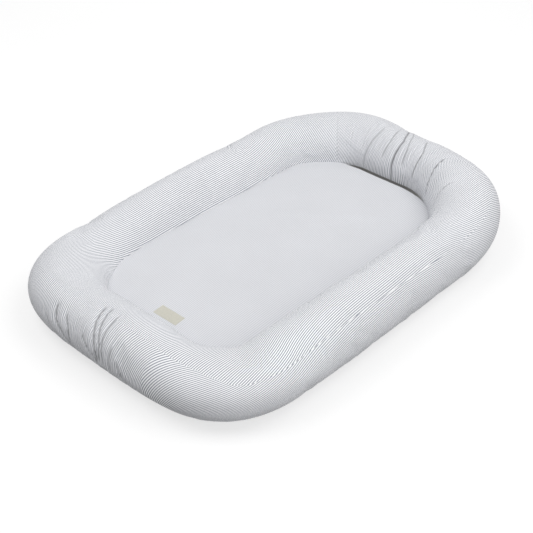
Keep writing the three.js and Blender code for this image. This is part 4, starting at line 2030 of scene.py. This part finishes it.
    def _runs(self) -> tuple[Array, Array]:
        """Where on the mat's middle line each column ends, and the direction to it from the mat's edge.

        Returns:
            Column and place in millimetres, and column and direction.
        """
        half = self.sizes.spine_half
        x = np.clip(self.edge[:, 0], -half, half) * self.sizes.spine_share
        spine = np.stack([x, np.zeros(len(self.edge))], axis=-1)
        inward = spine - self.edge
        return spine, inward / np.linalg.norm(inward, axis=1, keepdims=True)

    def pad(self, finishes: Finishes) -> bpy.types.Object:
        """Makes the mat's pad, with its rounded edge and the groove over the zip.

        Args:
            finishes: Materials of the lounger.

        Returns:
            The pad.
        """
        size = self.sizes
        spine, inward = self._runs()
        clear = size.cloth + size.gap + (size.groove_width + size.pad_clear) * self.groove
        edge = self.edge + inward * clear[:, None]
        share = (np.arange(size.pad_rows) / (size.pad_rows - 1)) ** size.row_power * size.pad_middle
        flat = edge[:, None] + (spine - edge)[:, None] * share[None, :, None]
        top = self.height(flat[..., 0], flat[..., 1]) - size.cloth - size.gap
        run = np.clip(share * size.pad_run / size.pad_round, 0, 1)
        corner = size.pad_round * (1 - np.sqrt(1 - (1 - run) ** 2))
        top = np.concatenate([flat, (top - corner[None])[..., None]], axis=-1)
        x, y = np.abs(flat[..., 0]), np.abs(flat[..., 1])
        groove = (1 - smoothstep(x, *size.groove_ends)) * (1 - smoothstep(y, *size.groove_sides))
        low = size.pad_bottom + size.zip_groove * groove + corner[None] * size.low_round
        bottom = np.concatenate([flat, low[..., None]], axis=-1)
        side = np.linspace(0, 1, size.side_rows + 2)[1:-1]
        wall = bottom[:, :1] + (top[:, :1] - bottom[:, :1]) * side[None, :, None]
        points = np.concatenate([bottom[:, ::-1], wall, top], axis=1)[:, ::-1]
        rows = points.shape[1]
        first = [i * rows for i in range(len(edge))]
        piece = grid_piece("mat_pad", points, caps=[first, [i + rows - 1 for i in first][::-1]])
        recalculate(piece)
        return finish_piece(piece, Body.ROOT, finishes.filling, ["mattress_core"])

    def woven_label(self, finishes: Finishes) -> bpy.types.Object:
        """Makes the bare woven label, sewn flat on the mat's foot edge.

        Args:
            finishes: Materials of the lounger.

        Returns:
            The label.
        """
        size = self.sizes
        half_width, half_length = size.label_width / 2, size.label_length / 2
        across = np.linspace(-half_width, half_width, size.label_columns)
        along = np.linspace(-half_length, half_length, size.label_rows)
        x0, y0 = size.label_middle
        gx, gy = np.meshgrid(x0 + across, y0 + along, indexing="ij")
        inside = np.minimum(half_width - np.abs(gx - x0), half_length - np.abs(gy - y0))
        lift = size.label_low + size.label_full * smoothstep(inside, 0.0, size.label_edge)
        lift += size.label_wave * np.sin(gy / size.label_wave_run)
        points = np.stack([gx, gy, self.height(gx, gy) + lift], axis=-1)[:, ::-1]
        bands = [UvBand(0, len(along) - 1, points[..., :2] * MM)]
        piece = grid_piece("woven_label_cloth", points, ring=False, bands=bands)
        thicken(piece, size.label_thickness * 0.6)
        return finish_piece(piece, Body.ROOT, finishes.label, ["woven_label"])


# Zip


def add_block(name: str, low: Sequence[float], high: Sequence[float]) -> bpy.types.Object:
    """Adds a block at its size and place, ready to be shaped.

    Args:
        name: Name of the block.
        low: Lowest corner, in millimetres.
        high: Highest corner.

    Returns:
        The block.
    """
    deselect_all()
    centre = [(a + b) / 2 * MM for a, b in zip(low, high)]
    size = [(b - a) * MM for a, b in zip(low, high)]
    bpy.ops.mesh.primitive_cube_add(size=1.0, location=centre, scale=size)
    block = bpy.context.object
    block.name = name
    bpy.ops.object.transform_apply(location=True, rotation=True, scale=True)
    return block


def pick(piece: bpy.types.Object, wanted: Callable[[Vector, Vector], bool]) -> None:
    """Goes to edit mode with some faces selected.

    Args:
        piece: The piece.
        wanted: Says by a face's middle, in millimetres, and its normal whether it is selected.
    """
    select_only(piece)
    bpy.ops.object.mode_set(mode="EDIT")
    bpy.ops.mesh.select_mode(type="FACE")
    bpy.ops.mesh.select_all(action="DESELECT")
    bpy.ops.object.mode_set(mode="OBJECT")
    for face in piece.data.polygons:
        face.select = wanted(face.center / MM, face.normal)
    bpy.ops.object.mode_set(mode="EDIT")


def leave_edit() -> None:
    """Goes back to object mode."""
    bpy.ops.object.mode_set(mode="OBJECT")


def round_edges(piece: bpy.types.Object, width: float, segments: int = 3) -> None:
    """Rounds the sharp edges of a piece and shades it smooth.

    Args:
        piece: The piece.
        width: Millimetres that the rounding takes from each face.
        segments: Faces across a rounding.
    """
    bevel = piece.modifiers.new("rounding", "BEVEL")
    bevel.width = width * MM
    bevel.segments = segments
    bevel.limit_method = "ANGLE"
    bevel.angle_limit = math.radians(35)
    bevel.use_clamp_overlap = True
    apply_modifiers(piece)
    select_only(piece)
    bpy.ops.object.shade_smooth_by_angle(angle=math.radians(40))


def cut_away(piece: bpy.types.Object, cutter: bpy.types.Object) -> None:
    """Cuts one piece out of another and removes it.

    Args:
        piece: The piece that stays.
        cutter: The piece that is cut out.
    """
    cut = piece.modifiers.new("cut", "BOOLEAN")
    cut.operation, cut.object, cut.solver = "DIFFERENCE", cutter, "EXACT"
    apply_modifiers(piece)
    bpy.data.objects.remove(cutter)


def join(pieces: Sequence[bpy.types.Object], name: str) -> bpy.types.Object:
    """Joins pieces into the first one and names it.

    Args:
        pieces: The pieces.
        name: Name of the joined piece.

    Returns:
        The joined piece.
    """
    deselect_all()
    for piece in pieces:
        piece.select_set(True)
    bpy.context.view_layer.objects.active = pieces[0]
    bpy.ops.object.join()
    pieces[0].name = name
    return pieces[0]


@dataclass
class ZipSizes:
    """The zip along the underside, in millimetres."""

    half_length: float = 245.0
    tail: float = 10.0
    inner: float = 0.8
    coil_outer: float = 3.2
    coil_bottom: float = 6.9
    coil_top: float = 9.2
    coil_end: float = 241.7
    coil_pitch: float = 1.55
    wire: float = 0.32
    tape_outer: float = 14.8
    tape_bottom: float = 9.5
    tape_top: float = 10.3
    tape_columns: int = 180
    tape_rows: int = 15
    rib: float = 0.08  # height of the ribs along the tape, and their pitch
    rib_pitch: float = 2.0
    tape_wave: float = 0.12  # at the outer edge, with its run
    tape_wave_run: float = 23.0
    stop_gap: float = 0.3
    stop_rim: float = 0.5
    stop_dent: float = 0.3
    stop_slope: float = 0.15
    stop_round: float = 0.22
    slider_x: float = 236.2
    slider_half: float = 5.5
    slider_side: float = 4.8
    waist: float = 0.2  # share by which the slider is narrower at its closed end
    shoulder_start: float = 0.6  # share of its half length where it narrows again
    shoulder: float = 0.16
    plate: float = 1.2
    slider_bottom: float = 5.4
    slider_top: float = 11.8
    post: float = 0.5
    bail_low: float = 1.6
    bail_half: float = 4.0
    bail_side: float = 1.0
    bail_bar: float = 1.0
    bail_sunk: float = 0.1
    recess_side: float = 2.4  # half sizes of the recess on the upper plate
    recess_half: float = 3.6
    recess_rim: float = 0.4
    recess_depth: float = 0.3
    wedge_sunk: float = 0.2  # in both plates
    wedge_run: float = 2.6
    wedge_tip: float = 0.3  # its width, as a share
    flange_outer: float = 0.1  # from the slider's side to the flange's faces
    flange_inner: float = 1.05
    flange_low: float = 0.4  # above the lower plate's face
    flange_high: float = 2.6
    flange_lean: float = 0.35
    slider_round: float = 0.28
    pull_length: float = 24.0
    pull_side: float = 3.5
    pull_low: float = 3.4
    pull_high: float = 4.6
    eye_bar: float = 0.7
    eye_far: float = 5.0
    eye_side: float = 1.3
    tip_steps: int = 6  # of the pull's round tip, and the degrees of each
    tip_turn: float = 14.5
    panel_edge: float = 1.2  # from the pull's side to its pressed panel
    panel_gap: float = 1.6  # from the eye to the panel
    panel_depth: float = 0.3
    panel_round: float = 0.9
    pull_round: float = 0.2


class Zip:
    """Coil zip: two tapes, two coils, three stops, the slider and its pull."""

    def __init__(self, sizes: ZipSizes) -> None:
        """Keeps the sizes."""
        self.sizes = sizes

    def tape(self, sign: int, finishes: Finishes) -> bpy.types.Object:
        """Makes one tape, a ribbed strip with a slight wave.

        Args:
            sign: 1 for the left tape, -1 for the right one.
            finishes: Materials of the lounger.

        Returns:
            The tape.
        """
        size = self.sizes
        end = size.half_length + size.tail
        along = np.linspace(-end, end, size.tape_columns)
        across = np.linspace(size.inner, size.tape_outer, size.tape_rows)
        x, y = np.meshgrid(along, across * sign, indexing="ij")
        rib = size.rib * np.cos((np.abs(y) - size.inner) * 2 * math.pi / size.rib_pitch)
        wave = size.tape_wave * np.sin(x / size.tape_wave_run) * (np.abs(y) / size.tape_outer) ** 2
        points = np.stack([x, y, size.tape_top - 0.2 + rib + wave], axis=-1)
        if sign < 0:
            points = points[:, ::-1]
        name = "zip_tape_woven_left" if sign > 0 else "zip_tape_woven_right"
        piece = grid_piece(name, points[:, ::-1], ring=False)
        thicken(piece, size.tape_top - size.tape_bottom - 0.3)
        node = "zip_tape_left" if sign > 0 else "zip_tape_right"
        finish_piece(piece, Body.ROOT, finishes.tape, [node])
        return piece

    def coil(self, sign: int, finishes: Finishes) -> bpy.types.Object:
        """Makes one coil of nylon wire, wound by a screw modifier.

        Args:
            sign: 1 for the left coil, -1 for the right one.
            finishes: Materials of the lounger.

        Returns:
            The coil.
        """
        size = self.sizes
        reach_y = (size.coil_outer - size.inner) / 2 - size.wire
        reach_z = (size.coil_top - size.coil_bottom) / 2 - size.wire
        deselect_all()
        bpy.ops.mesh.primitive_circle_add(
            vertices=5, radius=size.wire * MM, location=(reach_y * MM, 0, 0), rotation=(math.pi / 2, 0, 0)
        )
        piece = bpy.context.object
        piece.name = "zip_coil_wound_left" if sign > 0 else "zip_coil_wound_right"
        bpy.ops.object.transform_apply(location=True, rotation=True, scale=True)
        turns = int(2 * (size.coil_end - size.wire) / size.coil_pitch)
        screw = piece.modifiers.new("winding", "SCREW")
        screw.angle = 2 * math.pi * sign
        screw.screw_offset = size.coil_pitch * MM
        screw.iterations = turns
        screw.steps = screw.render_steps = 9
        screw.use_merge_vertices = False
        apply_modifiers(piece)
        bpy.ops.object.mode_set(mode="EDIT")
        bpy.ops.mesh.select_mode(type="VERT")
        bpy.ops.mesh.select_all(action="SELECT")
        bpy.ops.mesh.fill_holes(sides=5)
        bpy.ops.mesh.normals_make_consistent(inside=False)
        bpy.ops.mesh.select_all(action="SELECT")
        bpy.ops.transform.resize(value=(1, reach_z / reach_y, 1), center_override=(0, 0, 0))
        bpy.ops.object.mode_set(mode="OBJECT")
        half_run = turns * size.coil_pitch / 2
        side = sign * (size.inner + size.coil_outer) / 2
        middle = Vector((-half_run, side, (size.coil_bottom + size.coil_top) / 2))
        for vertex in piece.data.vertices:
            x, y, z = vertex.co
            vertex.co = Vector((z, x, y)) + middle * MM
        bpy.ops.object.shade_smooth()
        node = "zip_coil_left" if sign > 0 else "zip_coil_right"
        return finish_piece(piece, Body.ROOT, finishes.coil, [node])

    def _stop(self, name: str, low: Sequence[float], high: Sequence[float]) -> bpy.types.Object:
        """Makes a crimped stop: a block with a pressed middle and rounded edges.

        Args:
            name: Name of the stop.
            low: Lowest corner, in millimetres.
            high: Highest corner.

        Returns:
            The stop.
        """
        piece = add_block(name, low, high)
        pick(piece, lambda middle, normal: normal.z < -0.5)
        bpy.ops.mesh.inset(thickness=self.sizes.stop_rim * MM)
        bpy.ops.transform.translate(value=(0, 0, self.sizes.stop_dent * MM))
        bpy.ops.mesh.inset(thickness=self.sizes.stop_slope * MM)
        leave_edit()
        round_edges(piece, self.sizes.stop_round)
        return piece

    def stops(self, finishes: Finishes) -> list[bpy.types.Object]:
        """Makes the two top stops and the bottom stop.

        Args:
            finishes: Materials of the lounger.

        Returns:
            The stops.
        """
        size = self.sizes
        near, far = size.coil_end + size.stop_gap, size.half_length
        made = []
        for side, sign in (("left", 1), ("right", -1)):
            low_y, high_y = sorted((sign * size.inner, sign * size.coil_outer))
            corners = (near, low_y, size.coil_bottom), (far, high_y, size.coil_top)
            piece = self._stop(f"zip_top_stop_crimp_{side}", *corners)
            made.append(finish_piece(piece, Body.ROOT, finishes.metal, [f"zip_top_stop_{side}"]))
        piece = self._stop(
            "zip_bottom_stop_crimp",
            (-far, -size.coil_outer, size.coil_bottom),
            (-near, size.coil_outer, size.coil_top),
        )
        made.append(finish_piece(piece, Body.ROOT, finishes.metal, ["zip_bottom_stop"]))
        return made

    def _plate(self, name: str, low: float, high: float) -> bpy.types.Object:
        """Makes one plate of the slider, waisted towards its tail.

        Args:
            name: Name of the plate.
            low: Height of its underside.
            high: Height of its top.

        Returns:
            The plate.
        """
        size = self.sizes
        x, half, side = size.slider_x, size.slider_half, size.slider_side
        piece = add_block(name, (x - half, -side, low), (x + half, side, high))
        select_only(piece)
        bpy.ops.object.mode_set(mode="EDIT")
        bpy.ops.mesh.select_all(action="SELECT")
        bpy.ops.mesh.subdivide(number_cuts=5)
        bpy.ops.object.mode_set(mode="OBJECT")
        for vertex in piece.data.vertices:
            run = (vertex.co.x / MM - x) / size.slider_half
            waist = 1.0 - size.waist * float(smoothstep(np.array(-run), -0.3, 1.0))
            past = max(0.0, run - size.shoulder_start) / (1 - size.shoulder_start)
            vertex.co.y *= waist * (1.0 - size.shoulder * past)
        return piece

    def slider(self, finishes: Finishes) -> bpy.types.Object:
        """Makes the slider: two waisted plates on a wedge, side flanges and the bail.

        Args:
            finishes: Materials of the lounger.

        Returns:
            The slider.
        """
        size = self.sizes
        x = size.slider_x
        lower = self._plate("zip_slider_lower", size.slider_bottom, size.slider_bottom + size.plate)
        upper = self._plate("zip_slider_upper", size.slider_top - size.plate, size.slider_top)
        pick(
            upper,
            lambda middle, normal: normal.z > 0.5
            and abs(middle[1]) < size.recess_side
            and abs(middle[0] - x) < size.recess_half,
        )
        bpy.ops.mesh.inset(thickness=size.recess_rim * MM)
        bpy.ops.transform.translate(value=(0, 0, -size.recess_depth * MM))
        leave_edit()
        wedge = add_block(
            "zip_slider_wedge",
            (x + 1.0, -size.post, size.slider_bottom + size.wedge_sunk),
            (x + size.slider_half - 0.3, size.post, size.slider_top - size.wedge_sunk),
        )
        pick(wedge, lambda middle, normal: normal.x < -0.5)
        bpy.ops.mesh.extrude_region_move(TRANSFORM_OT_translate={"value": (-size.wedge_run * MM, 0, 0)})
        wedge_end = ((x + 1.0 - size.wedge_run) * MM, 0, 0)
        bpy.ops.transform.resize(value=(1, size.wedge_tip, 1), center_override=wedge_end)
        leave_edit()
        parts = [lower, upper, wedge]
        for sign in (1, -1):
            faces = (size.slider_side - size.flange_inner, size.slider_side - size.flange_outer)
            low_y, high_y = sorted(sign * face for face in faces)
            low_z, high_z = size.slider_bottom + size.flange_low, size.slider_bottom + size.flange_high
            flange = add_block("zip_slider_flange", (x - 3.2, low_y, low_z), (x + 3.6, high_y, high_z))
            pick(flange, lambda middle, normal: normal.x < -0.5)
            bpy.ops.transform.translate(value=(0, -sign * size.flange_lean * MM, 0))
            leave_edit()
            parts.append(flange)
        bail = add_block(
            "zip_slider_bail",
            (x - size.bail_half, -size.bail_side, size.bail_low),
            (x + size.bail_half, size.bail_side, size.slider_bottom + size.bail_bar + size.bail_sunk),
        )
        pick(bail, lambda middle, normal: abs(normal.y) > 0.5)
        bpy.ops.mesh.inset(thickness=size.bail_bar * MM)
        bpy.ops.mesh.bridge_edge_loops()
        leave_edit()
        parts.append(bail)
        for part in parts:
            round_edges(part, size.slider_round)
        piece = join(parts, "zip_slider_body_cast")
        return finish_piece(piece, Body.SLIDER, finishes.metal, ["zip_slider"])

    def pull(self, finishes: Finishes) -> bpy.types.Object:
        """Makes the pull: a plate with a rounded tip, an eye round the bail and a pressed panel.

        Args:
            finishes: Materials of the lounger.

        Returns:
            The pull.
        """
        size = self.sizes
        x = size.slider_x
        tip = x - size.pull_length + size.pull_side
        low, high, side = size.pull_low, size.pull_high, size.pull_side
        piece = add_block("zip_pull_cast", (tip, -side, low), (x + size.eye_bar, side, high))
        pick(piece, lambda middle, normal: normal.x < -0.5)
        turned, width = 0.0, 1.0
        for step in range(1, size.tip_steps + 1):
            turn = math.radians(size.tip_turn * step)
            run = size.pull_side * (math.sin(turn) - math.sin(turned))
            bpy.ops.mesh.extrude_region_move(TRANSFORM_OT_translate={"value": (-run * MM, 0, 0)})
            bpy.ops.transform.resize(value=(1, math.cos(turn) / width, 1), center_override=(0, 0, 0))
            turned, width = turn, math.cos(turn)
        leave_edit()
        eye = (x - size.eye_far, -size.eye_side, low - 1), (x - size.eye_bar, size.eye_side, high + 1)
        cut_away(piece, add_block("eye_cutter", *eye))
        edge = side - size.panel_edge
        near_eye = x - size.eye_far - size.panel_gap
        pressed = (tip + 0.5, -edge, low - 1), (near_eye, edge, low + size.panel_depth)
        panel = add_block("panel_cutter", *pressed)
        round_edges(panel, size.panel_round, 4)
        cut_away(piece, panel)
        round_edges(piece, size.pull_round)
        return finish_piece(piece, Body.PULL, finishes.metal, ["zip_pull"])


# Studio


@dataclass(frozen=True)
class StudioSizes:
    """Camera and lights, in metres and degrees."""

    azimuth: float = -47.158
    elevation: float = 34.645
    distance: float = 2.14386
    focal_pixels: float = 1119.24
    shift_x_pixels: float = 14.19
    shift_y_pixels: float = 2.18
    floor_side: float = 40.0
    floor_drop: float = 0.2  # millimetres below the lounger
    world: float = 0.25
    box_side: float = 2.0
    box_distance: float = 2.6


@dataclass(frozen=True)
class SoftBox:
    """One soft box of the studio.

    Attributes:
        name: Its place in words.
        turn: Degrees anticlockwise from the camera, seen from above.
        height: Degrees above the floor.
        power: Watts.
    """

    name: str
    turn: float
    height: float
    power: float


SOFT_BOXES = (
    SoftBox("high right soft box", 90.0, 55.0, 32.5),
    SoftBox("high left soft box", 270.0, 55.0, 34.0),
    SoftBox("low front soft box", 0.0, 25.0, 15.0),
    SoftBox("low front right soft box", 42.0, 14.0, 23.0),
    SoftBox("low back soft box", 180.0, 25.0, 15.5),
)


class Studio:
    """Plain pale floor, soft light and the camera at the photograph's angle."""

    def __init__(self, sizes: StudioSizes) -> None:
        """Keeps the sizes."""
        self.sizes = sizes

    def build(self, finishes: Finishes) -> None:
        """Makes the camera, floor and lights.

        Args:
            finishes: Materials of the lounger.
        """
        self._camera()
        self._floor(finishes)
        self._lights()

    @staticmethod
    def _direction(azimuth: float, elevation: float) -> Vector:
        """Direction from the lounger to a place of the studio, by its angles in degrees."""
        a, e = math.radians(azimuth), math.radians(elevation)
        return Vector((math.sin(a) * math.cos(e), -math.cos(a) * math.cos(e), math.sin(e)))

    def _camera(self) -> None:
        """Makes the camera."""
        size = self.sizes
        data = bpy.data.cameras.new("studio camera")
        data.sensor_width = SENSOR
        data.lens = size.focal_pixels / IMAGE_SIDE * SENSOR
        data.shift_x = -size.shift_x_pixels / IMAGE_SIDE
        data.shift_y = size.shift_y_pixels / IMAGE_SIDE
        data.clip_start, data.clip_end = 0.05, 60.0
        camera = bpy.data.objects.new("studio camera", data)
        bpy.context.scene.collection.objects.link(camera)
        back = self._direction(size.azimuth, size.elevation)
        camera.location = back * size.distance
        camera.rotation_mode = "QUATERNION"
        camera.rotation_quaternion = (-back).to_track_quat("-Z", "Y")
        bpy.context.scene.camera = camera

    def _floor(self, finishes: Finishes) -> None:
        """Makes the floor, just under the lounger.

        Args:
            finishes: Materials of the lounger.
        """
        deselect_all()
        bpy.ops.mesh.primitive_grid_add(x_subdivisions=8, y_subdivisions=8, size=self.sizes.floor_side)
        floor = bpy.context.object
        floor.name = "studio_floor"
        for vertex in floor.data.vertices:
            vertex.co.z = -self.sizes.floor_drop * MM
        floor.data.materials.append(finishes.board)
        floor.visible_diffuse = False

    def _lights(self) -> None:
        """Makes the white surround and the ring of soft boxes."""
        size = self.sizes
        world = bpy.data.worlds.new("white studio")
        world.use_nodes = True
        world.node_tree.nodes.clear()
        white = {"Color": linear("#ffffff"), "Strength": size.world}
        light = add_node(world.node_tree, "ShaderNodeBackground", white)
        add_node(world.node_tree, "ShaderNodeOutputWorld", {"Surface": (light, 0)})
        bpy.context.scene.world = world
        for box in SOFT_BOXES:
            data = bpy.data.lights.new(box.name, "AREA")
            data.shape, data.size, data.energy = "SQUARE", size.box_side, box.power
            lamp = bpy.data.objects.new(box.name, data)
            towards = self._direction(size.azimuth + box.turn, box.height)
            lamp.location = towards * size.box_distance
            lamp.rotation_mode = "QUATERNION"
            lamp.rotation_quaternion = (-towards).to_track_quat("-Z", "Y")
            lamp.visible_camera = False
            bpy.context.scene.collection.objects.link(lamp)
        bpy.context.scene.view_settings.view_transform = "Standard"


def main() -> None:
    """Builds the lounger, piece by piece."""
    logging.basicConfig(level=logging.INFO, format="%(name)s: %(message)s")
    finishes = Finishes()
    Studio(StudioSizes()).build(finishes)
    ring = Ring(RingSizes())
    cover = Cover(ring, Folds(ring), CoverSizes())
    sleeve = cover.top_sleeve(finishes)
    base = cover.base_cover(finishes)
    wall = cover.channel_wall(finishes)
    fillings = [cover.core(True, finishes), cover.core(False, finishes)]
    mat = Mat(cover, MatSizes())
    mat_top = mat.mat_cover(finishes)
    label = mat.woven_label(finishes)
    pad = mat.pad(finishes)
    zip_row = Zip(ZipSizes())
    tapes = [zip_row.tape(sign, finishes) for sign in (1, -1)]
    for sign in (1, -1):
        zip_row.coil(sign, finishes)
    zip_row.stops(finishes)
    zip_row.slider(finishes)
    zip_row.pull(finishes)


if __name__ == "__main__":
    main()
